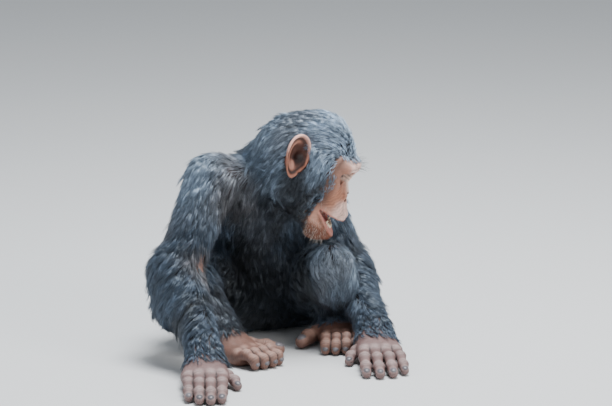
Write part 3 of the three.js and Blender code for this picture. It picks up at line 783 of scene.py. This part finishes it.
def coat_colour(p):
    """Colour of the hair by the place of its root: black with a painted blue-grey sheen, lighter higher up and on the
    left knee (painted highlight), darker on the belly, under the chin and behind the face and ears (painted shade),
    browner on the chest and flanks of the arm.
    """
    q = to_head(p)
    # black hair painted with a blue-grey sheen
    base = np.tile(srgb(68, 80, 95), (len(p), 1))
    # painted highlight: the hair is lighter higher on the body, as if lit from above
    base = blend(base, srgb(132, 148, 166), step(p[:, 2] + 0.25 * p[:, 0], 160, 290) * 0.9)
    # painted highlight on the top of the left knee
    base = blend(base, srgb(124, 139, 155), spot(p, A(116, -74, 128), 78) * 0.85)
    base = blend(base, srgb(92, 86, 84), spot(p, CHEST_PATCH, 62) * 0.7)
    base = blend(base, srgb(104, 94, 90), spot(p, ELBOW_PATCH, 50) * 0.6)
    base = blend(base, srgb(100, 94, 92), step(-waves(p, 60, 12), 0.1, 0.9) * 0.4)
    # painted shade on the belly and the front of the chest, and under the chin
    belly_shade = step(p[:, 2], 205, 120) * step(np.abs(p[:, 0] - 8), 88, 48) * step(p[:, 1], 60, 0)
    base = blend(base, srgb(22, 20, 21), belly_shade * (1 - spot(p, A(116, -74, 128), 78)) * 0.88)
    base = blend(base, srgb(24, 22, 24), spot(p, A(30, -66, 208), 66) * 0.85)
    # painted shade: the hair just behind the face and round the ear is darkened to nearly black
    behind = step(q[:, 0] - 0.2 * q[:, 2], 70, 52) * step(q[:, 0] - 0.2 * q[:, 2], 34, 50) * step(-q[:, 2], -30, -5) * step(np.abs(q[:, 1]), 20, 34)
    base = blend(base, srgb(34, 33, 36), behind * 0.82)
    for s in (1, -1):
        c = EARS[s][0] - A(2, 0, 30)
        base = blend(base, srgb(26, 24, 26), spot(p, c, 34) * 0.75)
        base = blend(base, srgb(28, 27, 30), spot(p, EARS[s][0] + A(-2, 0, -56), 46) * 0.82)
    return base


# ---------- materials ----------
def material(name, roughness, **sockets):
    m = bpy.data.materials.new(name)
    m.use_nodes = True
    t = m.node_tree
    b = t.nodes["Principled BSDF"]
    b.inputs["Roughness"].default_value = roughness
    for k, v in sockets.items():
        b.inputs[k.replace("_", " ")].default_value = v
    return m, t, b


def new(t, kind, **props):
    n = t.nodes.new(kind)
    for k, v in props.items():
        setattr(n, k, v)
    return n


def tone_nodes(t, b, scale, amount):
    """The piece's own colour with fine procedural mottling."""
    att = new(t, "ShaderNodeAttribute", attribute_name="tone")
    co = new(t, "ShaderNodeTexCoord")
    noise = new(t, "ShaderNodeTexNoise")
    noise.inputs["Scale"].default_value = scale
    noise.inputs["Detail"].default_value = 6
    ramp = new(t, "ShaderNodeMapRange")
    ramp.inputs["From Min"].default_value, ramp.inputs["From Max"].default_value = 0.25, 0.75
    ramp.inputs["To Min"].default_value, ramp.inputs["To Max"].default_value = 1 - amount, 1 + amount
    mul = new(t, "ShaderNodeVectorMath", operation="SCALE")
    t.links.new(co.outputs["Object"], noise.inputs["Vector"])
    t.links.new(noise.outputs["Fac"], ramp.inputs["Value"])
    t.links.new(att.outputs["Color"], mul.inputs[0])
    t.links.new(ramp.outputs["Result"], mul.inputs["Scale"])
    t.links.new(mul.outputs["Vector"], b.inputs["Base Color"])
    return co


skin_mat, t, b = material("bare_skin", 0.52)
b.inputs["Specular IOR Level"].default_value = 0.45
b.inputs["Subsurface Weight"].default_value = 0.06
b.inputs["Subsurface Radius"].default_value = (0.004, 0.0015, 0.001)
co = tone_nodes(t, b, 260, 0.14)
creases = new(t, "ShaderNodeTexVoronoi", feature="DISTANCE_TO_EDGE")
creases.inputs["Scale"].default_value = 420
grain = new(t, "ShaderNodeTexNoise")
grain.inputs["Scale"].default_value = 700
grain.inputs["Detail"].default_value = 4
warp = new(t, "ShaderNodeTexNoise")
warp.inputs["Scale"].default_value = 120
shift = new(t, "ShaderNodeVectorMath", operation="MULTIPLY_ADD")
shift.inputs[1].default_value = (0.006, 0.006, 0.006)
t.links.new(co.outputs["Object"], warp.inputs["Vector"])
t.links.new(warp.outputs["Color"], shift.inputs[0])
t.links.new(co.outputs["Object"], shift.inputs[2])
t.links.new(shift.outputs["Vector"], creases.inputs["Vector"])
t.links.new(co.outputs["Object"], grain.inputs["Vector"])
lines = new(t, "ShaderNodeMapRange")
lines.inputs["From Max"].default_value = 0.18
add = new(t, "ShaderNodeMath", operation="MULTIPLY_ADD")
add.inputs[1].default_value = 0.5
t.links.new(creases.outputs["Distance"], lines.inputs["Value"])
t.links.new(grain.outputs["Fac"], add.inputs[0])
t.links.new(lines.outputs["Result"], add.inputs[2])
bump = new(t, "ShaderNodeBump")
bump.inputs["Strength"].default_value = 0.55
bump.inputs["Distance"].default_value = 0.0007
t.links.new(add.outputs["Value"], bump.inputs["Height"])
t.links.new(bump.outputs["Normal"], b.inputs["Normal"])

coat_mat, t, b = material("hair", 0.38)
b.inputs["Specular IOR Level"].default_value = 0.95
b.inputs["Specular Tint"].default_value = (0.82, 0.92, 1.0, 1)
tone_nodes(t, b, 160, 0.12)

nail_mat, t, b = material("nail", 0.32)
tone_nodes(t, b, 500, 0.12)
tooth_mat, t, b = material("tooth", 0.2)
tone_nodes(t, b, 600, 0.06)
eye_mat, t, b = material("eye", 0.06)
b.inputs["Coat Weight"].default_value = 1.0
b.inputs["Coat Roughness"].default_value = 0.03
tone_nodes(t, b, 900, 0.1)


# ---------- putting pieces on the frame ----------
def piece(name, verts, faces, tone, mat, smooth=True, mesh=None):
    me = mesh or bpy.data.meshes.new(name)
    verts = np.asarray(verts, float)
    if mesh is None:
        faces = np.asarray(faces)
        me.vertices.add(len(verts))
        me.loops.add(faces.size)
        me.polygons.add(len(faces))
        me.loops.foreach_set("vertex_index", faces.ravel().astype(np.int32))
        me.polygons.foreach_set("loop_start", np.arange(0, faces.size, faces.shape[1], dtype=np.int32))
    me.vertices.foreach_set("co", ((verts - OFFSET) / 1000).ravel())
    me.update(calc_edges=True)
    me.validate()
    att = me.color_attributes.new("tone", "FLOAT_COLOR", "POINT")
    rgba = np.ones((len(me.vertices), 4))
    rgba[:, :3] = tone
    att.data.foreach_set("color", rgba.ravel())
    me.polygons.foreach_set("use_smooth", np.full(len(me.polygons), smooth))
    me.materials.append(mat)
    ob = bpy.data.objects.new(name, me)
    bpy.context.scene.collection.objects.link(ob)
    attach(ob, "root")
    return ob


skin = piece("skin", V, None, skin_colour(V), skin_mat, mesh=mesh)
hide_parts(*[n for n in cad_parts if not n.startswith("eye_")])


# ---------- eyes, nails and teeth ----------
print("seconds", round(time.time() - START, 1))
def globe(n=40):
    vs, fs = [], []
    for i in range(n // 2 + 1):
        for j in range(n):
            a, bb = math.pi * i / (n // 2), 2 * math.pi * j / n
            vs.append((math.cos(a), math.sin(a) * math.cos(bb), math.sin(a) * math.sin(bb)))
    for i in range(n // 2):
        for j in range(n):
            fs.append((i * n + j, i * n + (j + 1) % n, (i + 1) * n + (j + 1) % n, (i + 1) * n + j))
    return np.array(vs), np.array(fs)


GV, GF = globe()
for side, key in ((1, "l"), (-1, "r")):
    gaze = unit(A(0.93, 0.16 * side, -0.24))
    e2 = unit(np.cross(A(0, 0, 1), gaze))
    e3 = np.cross(gaze, e2)
    v = GV @ np.array([gaze, e2, e3])
    c = GV[:, 0]
    r = EYE_R * (1 + 0.05 * step(c, 0.80, 0.94))
    at = v * np.asarray(r)[:, None]
    tone = np.tile(srgb(120, 88, 72), (len(v), 1))
    tone = blend(tone, srgb(116, 62, 26), step(c, 0.78, 0.82))
    tone = blend(tone, srgb(34, 16, 8), step(c, 0.78, 0.80) * step(0.88 - c, 0, 0.05))
    tone = blend(tone, srgb(4, 3, 3), step(c, 0.955, 0.965))
    world = HEAD_ORIGIN + (at + EYE_AT * A(1, side, 1)) @ HEAD
    ob = piece("eyeball_" + key, world, GF, tone, eye_mat)
    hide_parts("eye_" + key)

nv, nf, nt = [], [], []
SV, SF = globe(16)
for name, (palm, chains) in GROPES.items():
    for pts_, r_, big in chains:
        tip, before = pts_[-1], pts_[-2]
        toe = name.startswith("foot") and big == 1.0
        ahead = unit(tip - before) if not toe else unit(A(tip[0] - pts_[-3][0], tip[1] - pts_[-3][1], -14))
        across = unit(np.cross(ahead, A(0, 0, 1)))
        up = np.cross(across, ahead)
        rr = r_ * (1 - 0.05 * (len(pts_) - 1))
        centre = tip - ahead * rr * 0.05 + up * rr * 0.60 if not toe else tip + A(0, 0, 3.0) + ahead * rr * 0.34 + up * rr * 0.50
        v = SV * A(rr * 0.86, rr * 0.74, rr * 0.5)
        v = np.stack([v[:, 0], v[:, 1], v[:, 2]], -1) @ np.array([ahead, across, up]) + centre
        nf.append(SF + sum(len(x) for x in nv))
        nv.append(v)
        nt.append(np.tile(srgb(92, 88, 92), (len(v), 1)) * rng.uniform(0.8, 1.2))
nails = piece("nails", np.concatenate(nv), np.concatenate(nf), np.concatenate(nt), nail_mat)

tv, tf, tt = [], [], []
for i in range(-4, 5):
    a = i / 4 * 1.22
    x, y = 90.0 + 13.0 * math.cos(a), 15.5 * math.sin(a)
    low = -40.6 - 0.61 * (x - 74)
    w, tall = 1.9, 4.4 if abs(i) < 4 else 5.6
    v = SV * A(w * 0.85, w, tall)
    v[:, 2] = np.where(v[:, 2] > 0, v[:, 2] * 0.9, v[:, 2])
    turn = np.array([[math.cos(a), math.sin(a), 0], [-math.sin(a), math.cos(a), 0], [0, 0, 1]])
    v = np.array([h(x + q[0], y + q[1], low - 0.2 + q[2]) for q in v @ turn])
    tf.append(SF + sum(len(q) for q in tv))
    tv.append(v)
    tt.append(np.tile(srgb(222, 208, 180), (len(v), 1)))
teeth = piece("teeth", np.concatenate(tv), np.concatenate(tf), np.concatenate(tt), tooth_mat)

# ---------- the coat ----------
print("seconds", round(time.time() - START, 1))
# Lie of the hair: a direction for each part, in the body's frame.
HF, HL, HU = HEAD


def lie(name, p):
    q = to_head(p)
    n = len(p)
    if name in ("head", "jaw"):
        ahead = step(q[:, 0], -8, 22)[:, None]
        side = step(np.abs(q[:, 1]), 20, 40) * step(q[:, 2], 54, 22)
        back = -HF * 1.0 - HU * 0.35
        down = (-HF * 0.55 - HU) * (1 - ahead) + (HF * 0.22 - HU) * ahead
        v = back * (1 - side[:, None]) + down * side[:, None]
        return v + HL * (0.25 * np.sign(q[:, 1]) * step(np.abs(q[:, 1]), 0, 20))[:, None]
    if name == "neck":
        return np.tile(unit(A(-0.72, 0.30, -0.62)), (n, 1)) + A(0, 0, -0.5) * step(-(p @ A(0.5, 0.85, 0)), -10, 30)[:, None]
    if name == "trunk":
        v = np.tile(A(0, 0, -1.0), (n, 1))
        v[:, 0] += 0.006 * (p[:, 0] - 5) * step(p[:, 2], 240, 140)
        top = step(p[:, 2], 236, 272)
        return v * (1 - top[:, None] * 0.8) + A(-0.9, 0.2, -0.1) * (top * step(30 - p[:, 0], -30, 30))[:, None]
    a, b = BONES[name]
    d = unit(b - a)
    g = A(0, 0, -1)
    if "forearm" in name:
        hang = unit(A(-0.55, -0.15, -0.75)) if name == "forearm_r" else unit(A(0.35, 0.25, -0.8))
        low = step(along(p, a, b), 0.72, 1.0)[:, None]
        return hang * (1 - low) + d * (0.12 + 0.9 * low)
    if "shin" in name:
        return np.tile(d * 0.35 + g * 0.9, (n, 1))
    if "thigh" in name:
        return np.tile(d * 0.7 + g * 0.6, (n, 1))
    return np.tile(d * 1.0 + g * 0.15, (n, 1))


LENGTH = {"trunk": 36, "neck": 34, "head": 25, "jaw": 24, "upper_arm_r": 36, "upper_arm_l": 36, "forearm_r": 30, "forearm_l": 30, "thigh_r": 32, "thigh_l": 32, "shin_r": 32, "shin_l": 40}
names = list(HAIRED)
mesh.calc_loop_triangles()
tri = np.empty(len(mesh.loop_triangles) * 3, np.int32)
mesh.loop_triangles.foreach_get("vertices", tri)
tri = tri.reshape(-1, 3)
P0, P1, P2 = V[tri[:, 0]], V[tri[:, 1]], V[tri[:, 2]]
area = np.linalg.norm(np.cross(P1 - P0, P2 - P0), axis=1) / 2
mid = (P0 + P1 + P2) / 3


def hairiness(p):
    """0 on bare skin, 1 in full coat."""
    w = 1 - bare_skin(p)
    q = to_head(p)
    for s in (1, -1):
        w = w * step(ear_field(p, s).astype(float), 1.0, 3.5)
    for n in GROPES:
        cuff = {"hand_r": WRIST_R, "hand_l": WRIST_L, "foot_r": ANKLE_R, "foot_l": ANKLE_L}[n]
        top = spot(p, cuff + A(0, 0, 8), 46 if "hand" in n else 36) * step(p[:, 2], 12, 20)
        w = w * np.maximum(step(grope_near(p, n), 0.5, 4.0), top)
    w = w * (1 - 0.97 * spot(p, ELBOW_PATCH, 36)) * (1 - spot(p, NIPPLE, 9)) * (1 - 0.45 * spot(p, CHEST_PATCH, 52))
    w = w * step(p[:, 2], 1.0, 3.0)
    gap = np.where((q[:, 0] > 60) & (q[:, 2] < -10), mouth_open(p.astype(f32)).astype(float), 9.0)
    return w * step(gap, 1.5, 4.5)


dens = hairiness(mid)
inhead = ((np.abs(to_head(mid)[:, 0] - 10) < 90) & (np.abs(to_head(mid)[:, 1]) < 62) & (to_head(mid)[:, 2] > -60)).astype(float)
weight = area * dens * (1 + 0.8 * inhead)
COUNT = 143000
pick = rng.choice(len(tri), COUNT, p=weight / weight.sum())
r1, r2 = rng.random(COUNT), rng.random(COUNT)
s1 = np.sqrt(r1)
root = P0[pick] * (1 - s1)[:, None] + P1[pick] * (s1 * (1 - r2))[:, None] + P2[pick] * (s1 * r2)[:, None]
near = np.stack([haired(root.astype(f32), n) for n in names], -1)
part = near.argmin(-1)
wts = np.exp(-(near - near.min(-1, keepdims=True)) / 7.0)
wts /= wts.sum(-1, keepdims=True)


def flow(p, w):
    v = 0
    for i, n in enumerate(names):
        v = v + unit(lie(n, p)) * w[:, i : i + 1]
    sleek = 1 - 0.65 * (w[:, names.index("head")] + w[:, names.index("jaw")])
    jit = np.stack([waves(p, 34, 0), waves(p, 34, 6), waves(p, 34, 12)], -1) * (0.26 * sleek)[:, None]
    return unit(v) + jit


length = np.array([LENGTH[n] for n in names], float)[part]
qh = to_head(root)
inh = (part == names.index("head")) | (part == names.index("jaw"))
front = step(qh[:, 0], 20, 62)
length = np.where(inh, length * (1 - 0.58 * front) * (1 - 0.4 * step(qh[:, 0], 42, 58)), length)
for s in (1, -1):
    close = np.linalg.norm(root - EARS[s][0], axis=1) < 62
    ear_d = np.full(COUNT, 40.0)
    ear_d[close] = ear_field(root[close].astype(f32), s)
    length *= 0.40 + 0.60 * step(ear_d, 3, 17)
length *= rng.uniform(0.7, 1.25, COUNT) * (1 + 0.15 * waves(root, 22, 4))
deep = np.array([7.0 if n in ("head", "jaw") else 10.0 for n in names])[part]
for i, n in enumerate(names):
    if "forearm" in n or "shin" in n:
        tt_ = along(root, *BONES[n])
        deep = np.where(part == i, 10.0 - 5.0 * step(tt_, 0.5, 1.0), deep)
        length = np.where(part == i, length * (1 - 0.45 * step(tt_, 0.6, 1.0)), length)
fly = rng.random(COUNT) < np.where(inh, 0.025, 0.11)
rise = rng.uniform(0.30, 1.0, COUNT) ** 1.1 * deep * np.where(fly, 1.7, 1.0)
rise = np.where(inh, (rise * (1 - 0.35 * front) + 0.8) * (1 - 0.55 * step(qh[:, 0], 44, 56) * step(30 - qh[:, 2], 0, 10)), rise)
jitter = rng.normal(0, 0.12, (COUNT, 3)) * np.where(fly, 2.0, 1.0)[:, None]
# Tufts gather into locks: each follows the nearest lock's lead in rise, length, tone and, towards the tip, in place.
from mathutils.kdtree import KDTree
LEADS = COUNT // 10
tree = KDTree(LEADS)
for i in range(LEADS):
    tree.insert(root[i], i)
tree.balance()
lead = np.array([tree.find(v)[1] for v in root])
length = length * 0.45 + length[lead] * 0.55
rise = rise * 0.5 + rise[lead] * deep / deep[lead] * 0.5
jitter = (jitter * 0.6 + jitter[lead] * 0.8) * np.where(inh, 0.6, 1.0)[:, None]
RINGS = (0.0, 0.48, 1.0)
path = [root - slope(root) * 0.8]
n0 = slope(root)
cur = root.copy()
for j in range(1, len(RINGS)):
    ds = (RINGS[j] - RINGS[j - 1]) * length
    nn = slope(cur)
    d = flow(cur, wts) + jitter
    d = unit(d - nn * (d * nn).sum(-1, keepdims=True))
    cur = cur + d * ds[:, None]
    want = rise * (0.55 if j == 1 else 1.0)
    nn = slope(cur)
    cur = cur + nn * np.clip(want - sample(grid, cur), -14, 14)[:, None]
    cur[:, 2] = np.maximum(cur[:, 2], 0.8)
    path.append(cur.copy())
path = np.stack(path, 1)
for s in (1, -1):
    close = np.where(np.linalg.norm(root - EARS[s][0], axis=1) < 75)[0]
    hit = close[(ear_field(path[close, 2].astype(f32), s) < 1.0) | (ear_field(path[close, 1].astype(f32), s) < 1.0)]
    path[hit, 1:] = path[hit, :1] + (path[hit, 1:] - path[hit, :1]) * 0.3
same = (np.linalg.norm(path[:, 0] - path[lead, 0], axis=1) < 12) & ((flow(root, wts) * flow(root[lead], wts[lead])).sum(-1) > 0.3)
for j in range(1, 3):
    pull = 0.5 * RINGS[j] ** 1.3 * same
    path[:, j] += (path[lead, j] - path[:, j]) * pull[:, None]
tang = np.empty_like(path)
tang[:, 0], tang[:, -1] = path[:, 1] - path[:, 0], path[:, -1] - path[:, -2]
tang[:, 1:-1] = path[:, 2:] - path[:, :-2]
tang = unit(tang)
wide = rng.uniform(0.34, 0.64, COUNT) * np.where(inh, 0.82, 1.0) * np.where(fly, 0.55, 1.0) * 1.0
PROFILE = (0.85, 1.0)
rings = []
for j in range(2):
    nn = slope(path[:, j])
    bi = unit(np.cross(tang[:, j], nn))
    up = np.cross(bi, tang[:, j])
    for k in range(3):
        ang = math.pi / 2 + 2 * math.pi * k / 3
        rings.append(path[:, j] + (bi * math.cos(ang) + up * math.sin(ang) * 0.7) * (wide * PROFILE[j])[:, None])
rings.append(path[:, 2])
TUFT = np.stack(rings, 1)
FACES = []
for k in range(3):
    a, b2, c2, d2 = k, (k + 1) % 3, 3 + (k + 1) % 3, 3 + k
    FACES += [(a, b2, c2), (a, c2, d2), (d2, c2, 6)]
FACES = np.array(FACES)
tone0 = coat_colour(root)
vary = np.exp(np.clip(rng.normal(0, 0.32, COUNT) + rng.normal(0, 0.36, COUNT)[lead] + 0.22 * waves(root, 30, 3), -1.2, 0.62))
tone0 = np.clip(tone0 * vary[:, None], 0.004, 0.72)
fade = np.array([0.5] * 3 + [1.0] * 3 + [1.35])


def coat_piece(name, idx, tris_, faces, ring, tones, uv, mat=None):
    n = len(idx)
    k = ring.shape[1]
    verts = ring[idx].reshape(-1, 3)
    fcs = (faces[None] + (np.arange(n) * k)[:, None, None]).reshape(-1, 3)
    ob = piece(name, verts, fcs, tones[idx].reshape(-1, 3), mat or coat_mat)
    layer = ob.data.uv_layers.new(name="OFBake")
    corner = np.array([[0, 0], [1, 0], [1, 1]], float)
    spots = (uv[idx][:, None, None, :] + (corner[None, None] - 0.5) * 0.003 + np.zeros((n, len(faces), 3, 2))).reshape(-1, 2)
    layer.data.foreach_set("uv", np.clip(spots, 0.0005, 0.9995).ravel())
    return ob


def unwrap(p, name):
    """Place on the part's own shape: angle round its bone line, and position along it."""
    a, b = BONES[name]
    w = unit(b - a)
    ref = A(1, 0, 0) if abs(w[0]) < 0.8 else A(0, 0, 1)
    u = unit(ref - w * (ref @ w))
    v = np.cross(w, u)
    r = p - a
    L = np.linalg.norm(b - a)
    return np.stack([0.01 + 0.98 * (np.arctan2(r @ v, r @ u) / (2 * math.pi) + 0.5), 0.01 + 0.98 * np.clip(((r @ w) / L + 0.35) / 1.7, 0, 1)], -1)


tones = tone0[:, None, :] * fade[None, :, None]
GROUPS = {n: [names.index(n)] for n in names if n != "jaw"}
GROUPS["head"].append(names.index("jaw"))
LIMIT = 21000  # tufts in one piece, 9 triangles each
total = 0
for n, ids in GROUPS.items():
    idx = np.where(np.isin(part, ids))[0]
    # a part with more tufts than that is parted along its widest direction
    spread = root[idx].max(0) - root[idx].min(0)
    idx = idx[np.argsort(root[idx, int(spread.argmax())], kind="stable")]
    lots = np.array_split(idx, max(1, math.ceil(len(idx) / LIMIT)))
    for i, lot in enumerate(lots):
        coat_piece("coat_" + n + ("_%d" % (i + 1) if len(lots) > 1 else ""), lot, None, FACES, TUFT, tones, unwrap(root, n))
        total += len(lot) * len(FACES)
print("coat triangles", total)

# ---------- bristles on the chin and brow, and lashes ----------
fm = bare_skin(mid)
qm = to_head(mid)
nm = np.cross(P1 - P0, P2 - P0)
nm = unit(nm)
outer = np.minimum(union(mid.astype(f32), skull), union(mid.astype(f32), jaw)).astype(float) > -2.5
chin_w = area * fm * outer * (step(-qm[:, 2], 46, 62) * step(qm[:, 2], -86, -76) * step(qm[:, 0], 60, 70) * step(108 - qm[:, 0], 0, 12) + 0.35 * step(-qm[:, 2], 24, 34) * step(36 + qm[:, 2], -4, 4) * step(np.abs(qm[:, 1]), 8, 20))
brow_w = area * fm * outer * step(qm[:, 2], 36, 41) * step(qm[:, 0], 68, 76) * step(np.abs(qm[:, 1]), 40, 30)
bb, bt, br = [], [], []
for wgt, num, lo_, hi_, tone, tilt in (
    (chin_w, 420, 2.5, 6.0, srgb(214, 202, 190), A(0.15, 0, -0.9)),
    (brow_w, 46, 6.0, 12.0, srgb(40, 34, 32), A(0.7, 0, 0.55)),
):
    pk = rng.choice(len(tri), num, p=wgt / wgt.sum())
    bb.append(mid[pk])
    br.append((nm[pk] * rng.uniform(0.35, 0.8, num)[:, None] + tilt @ HEAD + rng.normal(0, 0.22, (num, 3))) * rng.uniform(lo_, hi_, num)[:, None])
    bt.append(np.tile(tone, (num, 1)) * rng.uniform(0.6, 1.05, num)[:, None])
for s in (1, -1):
    ang = rng.uniform(-0.75, 0.75, 40)
    at = np.array([h(EYE_AT[0] + 13.2 * math.cos(a), EYE_AT[1] * s + 13.2 * math.sin(a) * s, EYE_AT[2] + 1.2 - 1.6 * a * a) for a in ang])
    bb.append(at)
    br.append((np.array([[math.cos(a), math.sin(a) * s, -0.35] for a in ang]) @ HEAD + rng.normal(0, 0.12, (40, 3))) * rng.uniform(3.0, 5.5, 40)[:, None])
    bt.append(np.tile(srgb(30, 24, 22), (40, 1)))
bb, br, bt = np.concatenate(bb), np.concatenate(br), np.concatenate(bt)
side_ = unit(np.cross(br, A(0.3, 0.5, 0.8)))
up_ = unit(np.cross(side_, br))
thin = rng.uniform(0.10, 0.17, len(bb))[:, None]
spin = [side_ * math.cos(2 * math.pi * k / 3) + up_ * math.sin(2 * math.pi * k / 3) for k in range(3)]
BR = np.stack([bb - unit(br) * 0.4 + v * thin for v in spin] + [bb + br * 0.55 + A(0, 0, -0.3) + v * thin * 0.8 for v in spin] + [bb + br + A(0, 0, -1.0)], 1)
coat_piece("bristles", np.arange(len(bb)), None, FACES, BR, np.repeat(bt[:, None, :], 7, 1), unwrap(bb, "head"))
print("tufts", {n: int((part == i).sum()) for i, n in enumerate(names)})

# ---------- floor, light and camera ----------
print("seconds", round(time.time() - START, 1))
floor_mat, t, b = material("floor", 0.85)
noise = new(t, "ShaderNodeTexNoise")
noise.inputs["Scale"].default_value = 3
ramp = new(t, "ShaderNodeMapRange")
ramp.inputs["To Min"].default_value, ramp.inputs["To Max"].default_value = 0.58, 0.62
grey = new(t, "ShaderNodeCombineColor")
t.links.new(noise.outputs["Fac"], ramp.inputs["Value"])
for i in range(3):
    t.links.new(ramp.outputs["Result"], grey.inputs[i])
t.links.new(grey.outputs["Color"], b.inputs["Base Color"])
me = bpy.data.meshes.new("floor")
me.from_pydata([(-40, -40, -0.0003), (40, -40, -0.0003), (40, 40, -0.0003), (-40, 40, -0.0003)], [], [(0, 1, 2, 3)])
me.materials.append(floor_mat)
floor = bpy.data.objects.new("floor", me)
bpy.context.scene.collection.objects.link(floor)

world = bpy.data.worlds.new("studio")
bpy.context.scene.world = world
world.use_nodes = True
world.node_tree.nodes["Background"].inputs["Color"].default_value = (0.86, 0.93, 1.0, 1)
world.node_tree.nodes["Background"].inputs["Strength"].default_value = 0.55
MIDDLE = (A(10, -60, 180) - OFFSET) / 1000
for name, at, size, power, colour in (
    ("key", (0.30, -0.20, 2.5), 1.2, 165, (0.93, 0.97, 1.0)),
    ("face", (1.9, -1.5, 1.1), 1.1, 32, (1.0, 0.96, 0.9)),
    ("fill", (-1.9, -2.0, 0.9), 1.6, 10, (1.0, 1.0, 1.0)),
):
    light = bpy.data.lights.new(name, "AREA")
    light.size, light.energy, light.color = size, power, colour
    ob = bpy.data.objects.new(name, light)
    from mathutils import Vector
    ob.location = Vector(MIDDLE) + Vector(at)
    ob.rotation_euler = (Vector(MIDDLE) - ob.location).to_track_quat("-Z", "Y").to_euler()
    bpy.context.scene.collection.objects.link(ob)

E = math.radians(12)
fwd, up = A(0, math.cos(E), -math.sin(E)), A(0, math.sin(E), math.cos(E))
camera = bpy.data.objects.new("camera", bpy.data.cameras.new("camera"))
camera.data.sensor_width = 36
camera.data.lens = 164.7
camera.data.clip_end = 60
eye = A(0, 0, 0.150) + A(1, 0, 0) * 0.0615 + up * 0.0633 - fwd * 4.2
camera.location = eye - OFFSET / 1000
camera.rotation_euler = (math.pi / 2 - E, 0, 0)
bpy.context.scene.collection.objects.link(camera)
bpy.context.scene.camera = camera

print("skin faces", len(mesh.polygons), "triangles", len(mesh.loop_triangles))
